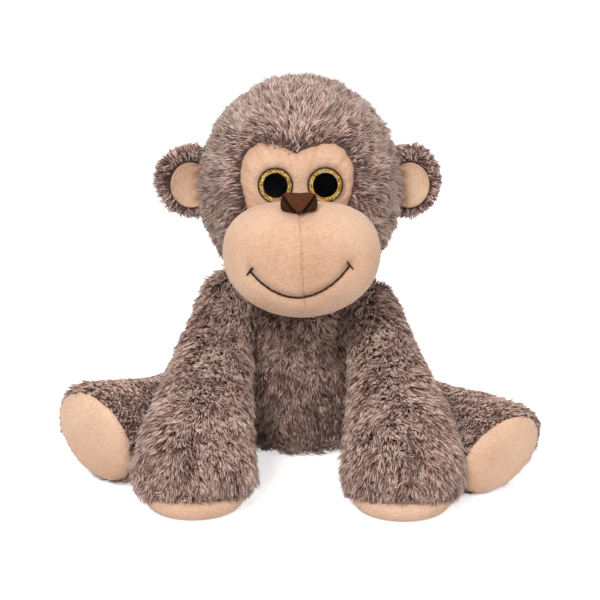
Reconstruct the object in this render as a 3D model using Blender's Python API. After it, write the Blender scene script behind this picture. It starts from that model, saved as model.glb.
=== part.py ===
"""A seated plush monkey, as the pieces that it is cut, stuffed and sewn from.

The origin is on the floor under the seat, +Z is up and the monkey faces -Y. Left and right are the
toy's own, so its left arm is on +X. Sizes are those of the sewn skin: the fur stands outside it.
"""

import math

import bpy
import bmesh
import numpy as np
from mathutils import Matrix, Vector

MM = 0.001

# Driving dimensions
SEAT_HEIGHT = 289 * MM          # floor to the top of the head
HEAD_HALF = Vector((75, 70, 84)) * MM
CHIN_SHARE = 0.93               # the head is this much shorter below its middle than above
BODY_HEIGHT = 130 * MM
EYE_DIAMETER = 26 * MM
WASHER_THICKNESS = 1.4 * MM
ARM_BALL = 20 * MM
LEG_BALL = 28 * MM
NECK_BALL = 30 * MM
CLOTH = 1.8 * MM                # backing cloth with its seam allowances
GAP = 0.4 * MM                  # between pieces that lie against each other
JOINT_GAP = 2.6 * MM            # between the two sides of a sewn joint, which holds the thread
THREAD = 0.7 * MM               # radius of the seam thread

# Places worked out from them
HEAD_CENTRE = Vector((0, -8 * MM, SEAT_HEIGHT - HEAD_HALF.z))
NECK = Vector((0, -4 * MM, BODY_HEIGHT - 4 * MM))
SHOULDER = Vector((54, -10, 106)) * MM
HIP = Vector((56, 4, 38)) * MM
MUZZLE_HALF = Vector((57, 35, 45)) * MM
MUZZLE_CENTRE = HEAD_CENTRE + Vector((0, -80, -39)) * MM
MUZZLE_BACK = 56 * MM            # how far it would run back inside the head
MUZZLE_RISE = 3 * MM            # its front is this much higher than its middle
EYE_PLACE = (18.4 * MM, HEAD_CENTRE.z + 18 * MM)
EAR_CENTRE = HEAD_CENTRE + Vector((85, 6, 6)) * MM
EAR_HALF = Vector((24, 6, 26)) * MM
EAR_CLEARANCE = 3.2 * MM
SLIT_LOW = 44 * MM
SLIT_LENGTH = 36 * MM
SLIT_HALF_WIDTH = 1 * MM

SIDES = {"left": 1, "right": -1}
FOOT_CENTRE = {"left": Vector((152, -122, 31.4)) * MM, "right": Vector((150, -115, 37.5)) * MM}
FOOT_LEAN = {"left": math.radians(62), "right": math.radians(42)}
FOOT_LONG = 39.5 * MM
FOOT_SHORT = {"left": 27 * MM, "right": 30 * MM}

BODY_SEGMENTS = 20
LIMB_SEGMENTS = 14
BALL_SEGMENTS = 14
EYE_SEGMENTS = 16
SMOOTH_ANGLE = math.radians(40)

FUR = ((0.300, 0.210, 0.180), 0.95)
PEACH = ((0.860, 0.600, 0.420), 0.85)
VELVET = ((0.080, 0.028, 0.012), 0.80)
FIBRE = ((0.900, 0.900, 0.880), 1.00)
STITCH = ((0.030, 0.018, 0.014), 0.70)
GLITTER = ((0.600, 0.370, 0.050), 0.30)
CLEAR = ((0.900, 0.850, 0.700), 0.05)
BLACK = ((0.010, 0.010, 0.010), 0.35)
WASHER = ((0.800, 0.800, 0.780), 0.50)


def clear_scene():
    """Empties the file, the startup cube included."""
    for item in list(bpy.data.objects):
        bpy.data.objects.remove(item)


def material(name, finish, metallic=0.0):
    """A Principled material with a colour and a roughness."""
    colour, roughness = finish
    made = bpy.data.materials.new(name)
    made.use_nodes = True
    shader = made.node_tree.nodes["Principled BSDF"]
    shader.inputs["Base Color"].default_value = (*colour, 1.0)
    shader.inputs["Roughness"].default_value = roughness
    shader.inputs["Metallic"].default_value = metallic
    return made


def new_object(name, points, faces):
    """An object from points and faces, its faces turned outwards."""
    mesh = bpy.data.meshes.new(name)
    mesh.from_pydata([tuple(p) for p in points], [], faces)
    work = bmesh.new()
    work.from_mesh(mesh)
    bmesh.ops.recalc_face_normals(work, faces=work.faces)
    work.to_mesh(mesh)
    work.free()
    made = bpy.data.objects.new(name, mesh)
    bpy.context.scene.collection.objects.link(made)
    return made


def ring_points(ring, count):
    """Points round an oval, given as its centre and its two half axes."""
    centre, across, along = Vector(ring[0:3]), Vector(ring[3:6]), Vector(ring[6:9])
    turns = [2 * math.pi * k / count for k in range(count)]
    return [centre + across * math.cos(turn) + along * math.sin(turn) for turn in turns]


def bands(rows, sides, closed=False):
    """Four-sided faces between rows of points; if closed, the last row also meets the first."""
    faces = []
    for row in range(rows if closed else rows - 1):
        low, high = row * sides, (row + 1) % rows * sides
        for k in range(sides):
            after = (k + 1) % sides
            faces.append((low + k, low + after, high + after, high + k))
    return faces


def loft(name, rings, segments, start=None, end=None):
    """A closed skin over rings. An end is a point or a flat cap."""
    points = [p for ring in rings for p in ring_points(ring, segments)]
    faces = bands(len(rings), segments)
    last = (len(rings) - 1) * segments
    for tip, first in ((start, 0), (end, last)):
        if tip is None:
            faces.append(tuple(first + k for k in range(segments)))
        else:
            points.append(tip)
            pole = len(points) - 1
            faces += [(first + k, first + (k + 1) % segments, pole) for k in range(segments)]
    return new_object(name, points, faces)


def through(keys, steps):
    """Rows on a smooth Catmull-Rom curve through the key rows."""
    keys = [np.array(k, float) for k in keys]
    padded = [2 * keys[0] - keys[1]] + keys + [2 * keys[-1] - keys[-2]]
    rows = []
    for i in range(1, len(padded) - 2):
        before, here, there, beyond = padded[i - 1:i + 3]
        for s in range(steps):
            t = s / steps
            rows.append(0.5 * (2 * here + (there - before) * t
                               + (2 * before - 5 * here + 4 * there - beyond) * t ** 2
                               + (3 * here - before - 3 * there + beyond) * t ** 3))
    return rows + [keys[-1]]


def shrunk(ring, inset):
    """The ring with both half axes shorter by the inset."""
    ring = np.array(ring, float)
    for part in (slice(3, 6), slice(6, 9)):
        size = np.linalg.norm(ring[part])
        ring[part] *= max(size - inset, 0.2 * MM) / size
    return ring


def ring_normal(ring):
    return Vector(ring[3:6]).cross(Vector(ring[6:9])).normalized()


def combine(target, tool, operation):
    """Joins, cuts or intersects the target with the tool, and keeps the result as plain mesh."""
    step = target.modifiers.new(operation, "BOOLEAN")
    step.operation = operation
    step.solver = "EXACT"
    step.object = tool
    evaluated = target.evaluated_get(bpy.context.evaluated_depsgraph_get())
    result = bpy.data.meshes.new_from_object(evaluated)
    target.modifiers.clear()
    target.data = result
    bpy.data.objects.remove(tool)
    return target


def sphere(name, centre, half, segments=BODY_SEGMENTS, lower_share=1.0):
    """An ellipsoid on a vertical axis; its lower half can be shorter than its upper half."""
    rows = segments // 2
    rings = []
    for k in range(1, rows):
        rise = math.cos(math.pi * k / rows)
        width = math.sin(math.pi * k / rows)
        height = half.z * rise * (lower_share if rise < 0 else 1.0)
        rings.append((centre.x, centre.y, centre.z + height, half.x * width, 0, 0, 0, half.y * width, 0))
    top = centre + Vector((0, 0, half.z))
    bottom = centre - Vector((0, 0, half.z * lower_share))
    return loft(name, rings, segments, start=top, end=bottom)


def socket(centre, radius):
    """A faceted ball whose flats, not its corners, reach the radius: it cuts a hollow with that room."""
    full = radius / math.cos(math.pi / BALL_SEGMENTS) ** 2
    return sphere("socket", centre, Vector((full, full, full)), segments=BALL_SEGMENTS)


def rod(centre, axis, radius, back, front, segments=EYE_SEGMENTS):
    """A plain cylinder along an axis, used for holes and pockets."""
    return turned("rod", [(0, -back), (radius, -back), (radius, front), (0, front)], centre, axis, segments)


def turned(name, profile, centre, axis, segments=EYE_SEGMENTS):
    """A turned piece. The profile is (radius, height) from the middle of one end to that of the other."""
    spin = axis.to_track_quat("Z", "Y").to_matrix()
    rings = []
    for radius, height in profile[1:-1]:
        place = centre + spin @ Vector((0, 0, height))
        rings.append((*place, *(spin @ Vector((radius, 0, 0))), *(spin @ Vector((0, radius, 0)))))
    first = centre + spin @ Vector((0, 0, profile[0][1]))
    final = centre + spin @ Vector((0, 0, profile[-1][1]))
    return loft(name, rings, segments, start=first, end=final)


def cord(name, path, radius, closed, sides=5):
    """A thread along a path of points; its ends are rounded off or joined into a loop."""
    count = len(path)
    frames = []
    for k, point in enumerate(path):
        ahead = path[(k + 1) % count] if closed or k < count - 1 else point
        behind = path[k - 1] if closed or k > 0 else point
        tangent = (ahead - behind).normalized()
        side = tangent.cross(Vector((0.31, 0.17, 0.93))).normalized()
        frames.append((*point, *(side * radius), *(tangent.cross(side) * radius)))
    if not closed:
        start = path[0] + (path[0] - path[1]).normalized() * radius
        end = path[-1] + (path[-1] - path[-2]).normalized() * radius
        return loft(name, frames, sides, start=start, end=end)
    points = [p for ring in frames for p in ring_points(ring, sides)]
    return new_object(name, points, bands(count, sides, closed=True))


def seam_loop(name, pivot, facing, ball_radius, spread):
    """The ring of thread round a limb's rounded root, in the middle of the joint gap."""
    facing = facing.normalized()
    reach = ball_radius + JOINT_GAP / 2
    side = facing.cross(Vector((0, 0, 1)) if abs(facing.z) < 0.8 else Vector((1, 0, 0))).normalized()
    other = facing.cross(side)
    path = []
    for k in range(20):
        turn = 2 * math.pi * k / 20
        out = side * math.cos(turn) + other * math.sin(turn)
        path.append(pivot + (facing * math.cos(spread) + out * math.sin(spread)) * reach)
    return cord(name, path, THREAD, closed=True)


def torso_rings(inset):
    """Half width, half depth and middle of the pear-shaped body at each height."""
    keys = [
        (0, 38, 36, -4),
        (9, 52, 50, -4),
        (34, 57, 55, -3),
        (62, 54, 53, -2),
        (88, 45, 45, -1),
        (108, 37, 38, -1),
        (123, 29, 30, -2),
        (129, 15, 16, -3),
    ]
    rows = through([np.array(k) * MM for k in keys], 2)
    rings = [(0, y, z, wide, 0, 0, 0, deep, 0) for z, wide, deep, y in rows]
    rings = [shrunk(r, inset) for r in rings]
    rings[0][2] += inset
    return rings


def torso_form(name, inset):
    """The body, with the rounded hollows that the head, the arms and the legs sit in."""
    top = Vector((0, -3 * MM, BODY_HEIGHT - inset))
    form = loft(name, torso_rings(inset), BODY_SEGMENTS, end=top)
    room = JOINT_GAP + inset
    form = combine(form, socket(NECK, NECK_BALL + room), "DIFFERENCE")
    for side in SIDES.values():
        form = combine(form, socket(mirrored(SHOULDER, side), ARM_BALL + room), "DIFFERENCE")
        form = combine(form, socket(mirrored(HIP, side), LEG_BALL + room), "DIFFERENCE")
    return form


def mirrored(place, side):
    return Vector((place.x * side, place.y, place.z))


def head_form(name, inset):
    """The head with the rounded root that sits in the neck."""
    half = HEAD_HALF - Vector((inset, inset, inset))
    form = sphere(name, HEAD_CENTRE, half, lower_share=CHIN_SHARE)
    root = NECK_BALL - inset
    return combine(form, sphere("root", NECK, Vector((root, root, root)), segments=BALL_SEGMENTS), "UNION")


def muzzle_blob(name, inset):
    """The wide muzzle round an axis that points forwards; it runs back under the chin into the head."""
    half = MUZZLE_HALF - Vector((inset, inset, inset))
    rings = []
    for lean in (-66, -44, -22, 0, 20, 38, 54, 70):
        reach = math.sin(math.radians(lean))
        swell = math.cos(math.radians(lean))
        depth = half.y if lean > 0 else MUZZLE_BACK
        y = MUZZLE_CENTRE.y - depth * reach
        z = MUZZLE_CENTRE.z + MUZZLE_RISE * reach
        rings.append((MUZZLE_CENTRE.x, y, z, half.x * swell, 0, 0, 0, 0, half.z * swell))
    tip = Vector((0, MUZZLE_CENTRE.y - half.y, MUZZLE_CENTRE.z + MUZZLE_RISE))
    return loft(name, rings, BODY_SEGMENTS, end=tip)


def muzzle_form(name, inset):
    """The muzzle as it stands out of the head."""
    return combine(muzzle_blob(name, inset), head_solid(-GAP), "DIFFERENCE")


def head_solid(inset):
    """The head's own ellipsoid, as a cutter."""
    return sphere("head", HEAD_CENTRE, HEAD_HALF - Vector((inset, inset, inset)), lower_share=CHIN_SHARE)


def arm_rings(side):
    """The arm's rings from shoulder to paw: upper and lower edge seen from the side, middle, half width."""
    keys = [
        ((-20, 123.3), (0, 88.7), 54, 20),
        ((-49, 109), (-28, 73), 62, 21.5),
        ((-80, 95), (-55, 54), 67, 26),
        ((-112, 83), (-84, 34), 71, 31.5),
        ((-146, 71), (-108, 15), 75.5, 37.5),
        ((-173, 54), (-118, 6), 78, 41),
        ((-186, 33), (-121, 4), 78.5, 41.5),
        ((-188, 19), (-123, 5), 78.5, 39),
    ]
    rows = []
    for (upper_y, upper_z), (lower_y, lower_z), middle, wide in keys:
        rows.append(np.array((
            side * middle, (upper_y + lower_y) / 2, (upper_z + lower_z) / 2,
            wide, 0, 0,
            0, (upper_y - lower_y) / 2, (upper_z - lower_z) / 2)) * MM)
    return through(rows, 2)


def leg_rings(side, name):
    """The leg's rings from hip to sole. The foot is an oval that leans outwards at its top.

    Each oval is held by its level and its upright half axis, so that the skin doesn't twist as it leans.
    """
    lean, foot, short = FOOT_LEAN[name], FOOT_CENTRE[name], FOOT_SHORT[name]
    knee = foot.z - 4 * MM
    keys = [
        ((0, 0, HIP.z), (0.86, -0.50, -0.02), LEG_BALL, LEG_BALL, 0.0),
        ((0.30, 0.16, knee + 2 * MM), (0.80, -0.60, 0.0), 26 * MM, 26 * MM, 0.0),
        ((0.57, 0.39, knee), (0.66, -0.75, 0.0), 25.5 * MM, 26 * MM, 0.3),
        ((0.80, 0.69, knee + 2 * MM), (0.56, -0.83, 0.0), 33.5 * MM, short - 1 * MM, 0.8),
        ((0.915, 0.87, foot.z), (0.55, -0.83, -0.06), FOOT_LONG - 1 * MM, short, 1.0),
        ((0.965, 0.945, foot.z), (0.55, -0.82, -0.10), FOOT_LONG, short, 1.0),
        ((1.0, 1.0, foot.z), (0.55, -0.82, -0.12), FOOT_LONG - 2.5 * MM, short - 2.5 * MM, 1.0),
    ]
    rows = []
    for (over, ahead, height), heading, long_half, short_half, share in keys:
        place = Vector((HIP.x + (foot.x - HIP.x) * over, HIP.y + (foot.y - HIP.y) * ahead, height))
        tangent = mirrored(Vector(heading), side).normalized()
        outwards = Vector((0, 0, side)).cross(tangent).normalized()
        upwards = outwards.cross(tangent) * -side
        tilt = lean * share
        long_axis = (upwards * math.cos(tilt) + outwards * math.sin(tilt)) * long_half
        short_axis = (outwards * math.cos(tilt) - upwards * math.sin(tilt)) * short_half
        level = (short_axis * math.cos(tilt) + long_axis * math.sin(tilt)) * side
        upright = long_axis * math.cos(tilt) - short_axis * math.sin(tilt)
        rows.append((*mirrored(place, side), *level, *upright))
    return through(rows, 2)


def limb_form(name, rings, inset, reach):
    """A limb with a ball root. Its far end is moved out by reach, past the mouth where its pad goes."""
    root = shrunk(rings[0], inset)
    into = ring_normal(root)
    radius = Vector(root[3:6]).length
    cap = []
    for k in range(1, 5):
        angle = math.radians(90 * k / 5)
        ring = root.copy()
        ring[0:3] = np.array(Vector(root[0:3]) - into * radius * math.cos(angle))
        ring[3:9] *= math.sin(angle)
        cap.append(ring)
    body = [shrunk(r, inset) for r in rings]
    body[-1][0:3] += np.array(ring_normal(body[-1])) * reach
    start = Vector(root[0:3]) - into * radius
    return loft(name, cap + body, LIMB_SEGMENTS, start=start)


def pad_form(name, rim, bulge):
    """A slightly domed oval pad that closes a limb's mouth; its rim is set in from the cover's edge."""
    rim = shrunk(rim, CLOTH + GAP)
    out = ring_normal(rim)
    rings = []
    for share, rise in ((0.55, 0.72), (0.85, 0.30), (1.0, -0.1)):
        rings.append(pad_ring(rim, share, out * bulge * rise))
    for share, rise in ((0.97, -0.1), (0.80, 0.30), (0.50, 0.72)):
        rings.append(pad_ring(rim, share, out * (bulge * rise - CLOTH)))
    centre = Vector(rim[0:3])
    return loft(name, rings, LIMB_SEGMENTS, start=centre + out * bulge, end=centre + out * (bulge - CLOTH))


def pad_ring(rim, share, shift):
    ring = rim.copy()
    ring[3:9] *= share
    ring[0:3] += np.array(shift)
    return ring


def face_prism(grow):
    """The outline of the face panel, two rounded lobes over the eyes, run through the head's front."""
    outline = [(0, 39), (15, 45), (29, 45), (40, 36), (43, 20), (38, 0), (32, -25), (20, -48), (0, -58)]
    half = through([np.array(p) * MM for p in outline], 2)
    half = [(max(x, 0) + (grow if x > 0 else 0), z + (grow if z > 0 else -grow)) for x, z in half]
    loop = half + [(-x, z) for x, z in reversed(half[1:-1])]
    count = len(loop)
    points = []
    for y in (HEAD_CENTRE.y, HEAD_CENTRE.y - 2 * HEAD_HALF.y):
        points += [Vector((x, y, HEAD_CENTRE.z + z)) for x, z in loop]
    faces = [tuple(range(count)), tuple(range(count, 2 * count))]
    for k in range(count):
        after = (k + 1) % count
        faces.append((k, after, count + after, count + k))
    return new_object("face", points, faces)


def eye_frame(side):
    """The point on the face where an eye sits, and the direction that it looks in."""
    x, z = EYE_PLACE
    rise = z - HEAD_CENTRE.z
    fullness = 1 - (x / HEAD_HALF.x) ** 2 - (rise / HEAD_HALF.z) ** 2
    depth = HEAD_HALF.y * math.sqrt(fullness)
    place = Vector((side * x, HEAD_CENTRE.y - depth, z))
    facing = Vector((side * x / HEAD_HALF.x ** 2, -depth / HEAD_HALF.y ** 2, rise / HEAD_HALF.z ** 2))
    return place, facing.normalized()


def muzzle_surface(x, z):
    """How far forward the muzzle's skin is at a place on it."""
    rise = z - MUZZLE_CENTRE.z - MUZZLE_RISE
    fullness = 1 - (x / MUZZLE_HALF.x) ** 2 - (rise / MUZZLE_HALF.z) ** 2
    return MUZZLE_CENTRE.y - MUZZLE_HALF.y * math.sqrt(max(fullness, 0))


def make_torso(finish):
    cover = combine(torso_form("torso_cover", 0), torso_form("inside", CLOTH), "DIFFERENCE")
    cover = combine(cover, filling_slit(), "DIFFERENCE")
    stuffing = torso_form("torso_stuffing", CLOTH + GAP)
    return finish_all({"torso_cover": (cover, finish["fur"]), "torso_stuffing": (stuffing, finish["fibre"])})


def filling_slit():
    """The slit up the back that the torso is filled through."""
    middle = SLIT_LOW + SLIT_LENGTH / 2
    ends = [(0, y, middle, SLIT_HALF_WIDTH, 0, 0, 0, 0, SLIT_LENGTH / 2) for y in (35 * MM, 75 * MM)]
    return loft("slit", ends, 8)


def make_closing_seam(finish):
    """The ladder stitch up the back: a thread that steps from side to side over the filling slit."""
    steps = 9
    path = []
    for k in range(steps):
        height = SLIT_LOW + SLIT_LENGTH * k / (steps - 1)
        sway = 3.5 * MM * (1 if k % 2 else -1)
        path.append(Vector((sway, back_surface(height) + 2 * THREAD, height)))
    thread = cord("closing_seam", path, THREAD, closed=False)
    return finish_all({"closing_seam": (thread, finish["stitch"])})


def back_surface(height):
    """How far back the torso's skin is at a height."""
    rings = torso_rings(0)
    heights = [r[2] for r in rings]
    backs = [r[1] + r[7] for r in rings]
    return float(np.interp(height, heights, backs))


def make_head(finish):
    cover = combine(head_form("head_cover", 0), head_form("inside", CLOTH), "DIFFERENCE")
    mouth = rod(NECK - Vector((0, 0, NECK_BALL)), Vector((0, 0, 1)), 12 * MM, 8 * MM, 8 * MM)
    cover = combine(cover, mouth, "DIFFERENCE")
    patch = combine(head_solid(0), head_solid(CLOTH), "DIFFERENCE")
    patch = combine(patch, face_prism(0), "INTERSECT")
    cover = combine(cover, face_prism(GAP), "DIFFERENCE")
    stuffing = head_form("head_stuffing", CLOTH + GAP)
    for side in SIDES.values():
        place, facing = eye_frame(side)
        patch = combine(patch, rod(place, facing, 2.9 * MM, 6 * MM, 6 * MM), "DIFFERENCE")
        stuffing = combine(stuffing, rod(place, facing, 9.5 * MM, 16 * MM, 2 * MM), "DIFFERENCE")
    return finish_all({
        "head_cover": (cover, finish["fur"]),
        "face_patch": (patch, finish["peach"]),
        "head_stuffing": (stuffing, finish["fibre"]),
    })


def make_muzzle(finish):
    cover = combine(muzzle_form("muzzle_cover", 0), muzzle_blob("inside", CLOTH), "DIFFERENCE")
    stuffing = muzzle_form("muzzle_stuffing", CLOTH + GAP)
    for side in SIDES.values():
        place, facing = eye_frame(side)
        for piece, room in ((cover, GAP), (stuffing, GAP + CLOTH + GAP)):
            socket = rod(place, facing, EYE_DIAMETER / 2 + room, 0, 14 * MM, BODY_SEGMENTS)
            combine(piece, socket, "DIFFERENCE")
    return finish_all({
        "muzzle_cover": (cover, finish["peach"]),
        "muzzle_stuffing": (stuffing, finish["fibre"]),
    })


def make_nose(finish):
    """A soft triangle with its point down, cut to lie on the muzzle."""
    wide, high = 13.5 * MM, 9 * MM
    right_half = [(0, 1.0), (0.62, 0.95), (1, 0.55), (0.55, -0.35), (0, -1)]
    corners = right_half + [(-x, z) for x, z in reversed(right_half[1:-1])]
    layers = [(14, 0.9), (-2, 1.0), (-8, 0.86), (-11, 0.5)]
    middle = HEAD_CENTRE + Vector((0, -98, 5)) * MM
    points = []
    for depth, swell in layers:
        for x, z in corners:
            points.append(middle + Vector((x * wide * swell, depth * MM, z * high * swell)))
    count = len(corners)
    ends = [tuple(range(count)), tuple(range(len(points) - count, len(points)))]
    nose = new_object("nose", points, bands(len(layers), count) + ends)
    combine(nose, muzzle_form("muzzle", -GAP), "DIFFERENCE")
    combine(nose, head_solid(-3 * MM), "DIFFERENCE")
    for side in SIDES.values():
        place, facing = eye_frame(side)
        combine(nose, rod(place, facing, EYE_DIAMETER / 2 + GAP, 2 * MM, 20 * MM, BODY_SEGMENTS), "DIFFERENCE")
    return finish_all({"nose": (nose, finish["velvet"])})


def make_mouth(finish):
    """The embroidered smile: a thread that lies on the muzzle, its ends higher than its middle."""
    half_width, sag, low = 36 * MM, 20 * MM, MUZZLE_CENTRE.z - 20 * MM
    path = []
    for k in range(17):
        across = -1 + k / 8
        x = half_width * across
        z = low + sag * across ** 2
        path.append(Vector((x, muzzle_surface(x, z) - GAP - THREAD, z)))
    smile = cord("mouth_stitching", path, THREAD, closed=False)
    return finish_all({"mouth_stitching": (smile, finish["stitch"])})


def make_eye(name, side, finish):
    """A safety eye: black cup with its post, glitter disc, clear dome, and the washer that locks it.

    Every profile is in (radius, height) from the face outwards; the post and washer are behind the face.
    """
    place, facing = eye_frame(side)
    place = place + facing * GAP
    rim = EYE_DIAMETER / 2
    seat = rim - 0.8 * MM
    lens = seat - 0.3 * MM
    floor, step, lip = 0.8 * MM, 1.7 * MM, 2.8 * MM
    post, post_length = 2.4 * MM, 13 * MM
    stem = [(0, -post_length), (post - 0.4 * MM, -post_length), (post, 1 * MM - post_length), (post, 0),
            (rim, 0), (rim, lip), (seat, lip), (seat, floor), (0, floor)]
    glitter = [(0, floor + 0.3 * MM), (lens, floor + 0.3 * MM), (lens, step), (0, step)]
    dome_low, dome_edge, dome_rise = step + 0.3 * MM, lip + 0.4 * MM, 5 * MM
    dome = [(0, dome_low), (lens, dome_low), (lens, dome_edge)]
    for k in range(1, 4):
        angle = math.radians(90 * k / 4)
        dome.append((lens * math.cos(angle), dome_edge + dome_rise * math.sin(angle)))
    dome.append((0, dome_edge + dome_rise))
    pieces = {}
    profiles = {"stem": (stem, "black"), "glitter": (glitter, "glitter"), "dome": (dome, "clear")}
    for kind, (profile, surface) in profiles.items():
        key = f"eye_{kind}_{name}"
        pieces[key] = (turned(key, profile, place, facing), finish[surface])
    key = "eye_washer_" + name
    pieces[key] = (washer(key, post + 0.3 * MM, 8.5 * MM, place - facing * 7 * MM, facing), finish["washer"])
    return finish_all(pieces)


def washer(name, hole, outside, centre, axis):
    """A flat ring: its square section carried once round the axis."""
    spin = axis.to_track_quat("Z", "Y").to_matrix()
    section = [(hole, 0), (outside, 0), (outside, WASHER_THICKNESS), (hole, WASHER_THICKNESS)]
    points = []
    for k in range(EYE_SEGMENTS):
        turn = 2 * math.pi * k / EYE_SEGMENTS
        for radius, height in section:
            points.append(centre + spin @ Vector((radius * math.cos(turn), radius * math.sin(turn), height)))
    return new_object(name, points, bands(EYE_SEGMENTS, len(section), closed=True))


def make_ear(name, side, finish):
    """A cupped fur ear with a thin lining in its front, both cut clear of the head.

    The profiles are (share of the ear's half size, depth behind its middle), front first.
    """
    centre = mirrored(EAR_CENTRE, side)
    shell = [(0, -3.2), (0.5, -2.6), (0.8, -3.6), (0.97, -6.0), (1.0, -3.0), (0.9, 1.5), (0.6, 3.6), (0, 4.4)]
    cup = [(0, -4.8), (0.5, -4.2), (0.76, -5.4), (0.78, -4.0), (0.5, -3.05), (0, -3.65)]
    back = ear_dish("ear_back_" + name, centre, shell)
    lining = ear_dish("ear_lining_" + name, centre, cup)
    clearance = HEAD_HALF + Vector((EAR_CLEARANCE, EAR_CLEARANCE, EAR_CLEARANCE))
    for piece in (back, lining):
        combine(piece, sphere("room", HEAD_CENTRE, clearance, lower_share=CHIN_SHARE), "DIFFERENCE")
    return finish_all({
        "ear_back_" + name: (back, finish["fur"]),
        "ear_lining_" + name: (lining, finish["peach"]),
    })


def ear_dish(name, centre, profile):
    """A shallow oval dish round an axis that points forwards."""
    rings = []
    for share, depth in profile[1:-1]:
        y = centre.y + depth * MM
        rings.append((centre.x, y, centre.z, EAR_HALF.x * share, 0, 0, 0, 0, EAR_HALF.z * share))
    first = centre + Vector((0, profile[0][1] * MM, 0))
    final = centre + Vector((0, profile[-1][1] * MM, 0))
    return loft(name, rings, LIMB_SEGMENTS, start=first, end=final)


def make_limb(kind, pad, name, rings, bulge, finish):
    """A fur cover open at its far end, the stuffing inside it and the pad that closes it."""
    cover = limb_form(f"{kind}_cover_{name}", rings, 0, 0)
    combine(cover, limb_form("inside", rings, CLOTH, 5 * MM), "DIFFERENCE")
    stuffing = limb_form(f"{kind}_stuffing_{name}", rings, CLOTH + GAP, -CLOTH - 2 * GAP)
    cushion = pad_form(f"{pad}_pad_{name}", rings[-1], bulge)
    return finish_all({
        f"{kind}_cover_{name}": (cover, finish["fur"]),
        f"{kind}_stuffing_{name}": (stuffing, finish["fibre"]),
        f"{pad}_pad_{name}": (cushion, finish["peach"]),
    })


def make_seams(finish):
    """The five rings of thread that join the head and the limbs to the body."""
    places = {"neck_seam": (NECK, Vector((0, 0, -1)), NECK_BALL, math.radians(72))}
    for name, side in SIDES.items():
        into_chest = mirrored(Vector((-1, 0.5, -0.1)), side)
        into_seat = mirrored(Vector((-0.86, 0.5, 0.02)), side)
        places["shoulder_seam_" + name] = (mirrored(SHOULDER, side), into_chest, ARM_BALL, math.radians(42))
        places["hip_seam_" + name] = (mirrored(HIP, side), into_seat, LEG_BALL, math.radians(48))
    return finish_all({key: (seam_loop(key, *place), finish["stitch"]) for key, place in places.items()})


def finish_all(pieces):
    """Names, paints and smooths each piece, and returns the pieces by name."""
    for name, (piece, surface) in pieces.items():
        piece.name = name
        piece.data.name = name
        piece.data.materials.clear()
        piece.data.materials.append(surface)
        piece.data.shade_smooth()
        piece.data.set_sharp_from_angle(angle=SMOOTH_ANGLE)
    return {name: piece for name, (piece, surface) in pieces.items()}


def pivot_on(piece, pivot, holder):
    """Moves the piece's origin to its joint's pivot and hangs it on the joint's empty."""
    piece.data.transform(Matrix.Translation(-pivot))
    piece.parent = holder


def empty(name, place):
    made = bpy.data.objects.new(name, None)
    made.location = place
    bpy.context.scene.collection.objects.link(made)
    return made


def main():
    clear_scene()
    finish = {
        "fur": material("brown_fur", FUR),
        "peach": material("peach_velour", PEACH),
        "velvet": material("brown_velvet", VELVET),
        "fibre": material("fibre_fill", FIBRE),
        "stitch": material("dark_thread", STITCH),
        "glitter": material("gold_glitter", GLITTER, metallic=0.6),
        "clear": material("clear_plastic", CLEAR),
        "black": material("black_plastic", BLACK),
        "washer": material("white_plastic", WASHER),
    }
    make_torso(finish)
    make_closing_seam(finish)
    seams = make_seams(finish)
    pivot_on(seams["neck_seam"], NECK, empty("neck_joint", NECK))

    head = {**make_head(finish), **make_muzzle(finish), **make_nose(finish), **make_mouth(finish)}
    for name, side in SIDES.items():
        head.update(make_eye(name, side, finish))
    head_joint = empty("head_joint", NECK)
    for piece in head.values():
        pivot_on(piece, NECK, head_joint)

    for name, side in SIDES.items():
        ear_root = mirrored(Vector((HEAD_HALF.x + EAR_CLEARANCE, EAR_CENTRE.y, EAR_CENTRE.z)), side)
        ear_joint = empty("ear_joint_" + name, ear_root)
        for piece in make_ear(name, side, finish).values():
            pivot_on(piece, ear_root, ear_joint)
        for kind, pad, pivot, rings, bulge in (
                ("arm", "palm", SHOULDER, arm_rings(side), 4 * MM),
                ("leg", "sole", HIP, leg_rings(side, name), 4 * MM)):
            place = mirrored(pivot, side)
            joint = empty(f"{kind}_joint_{name}", place)
            for piece in make_limb(kind, pad, name, rings, bulge, finish).values():
                pivot_on(piece, place, joint)
        pivot_on(seams["shoulder_seam_" + name], mirrored(SHOULDER, side),
                 empty("shoulder_joint_" + name, mirrored(SHOULDER, side)))
        pivot_on(seams["hip_seam_" + name], mirrored(HIP, side),
                 empty("hip_joint_" + name, mirrored(HIP, side)))


main()
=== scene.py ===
"""The looks of the seated plush monkey: stuffed skins, real pile strand by strand, face, eyes and pads.

Every place and size comes from the frame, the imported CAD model. Left and right are the toy's own,
the monkey faces -Y, and all lengths are metres.
"""

import math

import bmesh
import bpy
import numpy as np
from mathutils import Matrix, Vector
from mathutils.bvhtree import BVHTree
from mathutils.kdtree import KDTree


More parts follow.
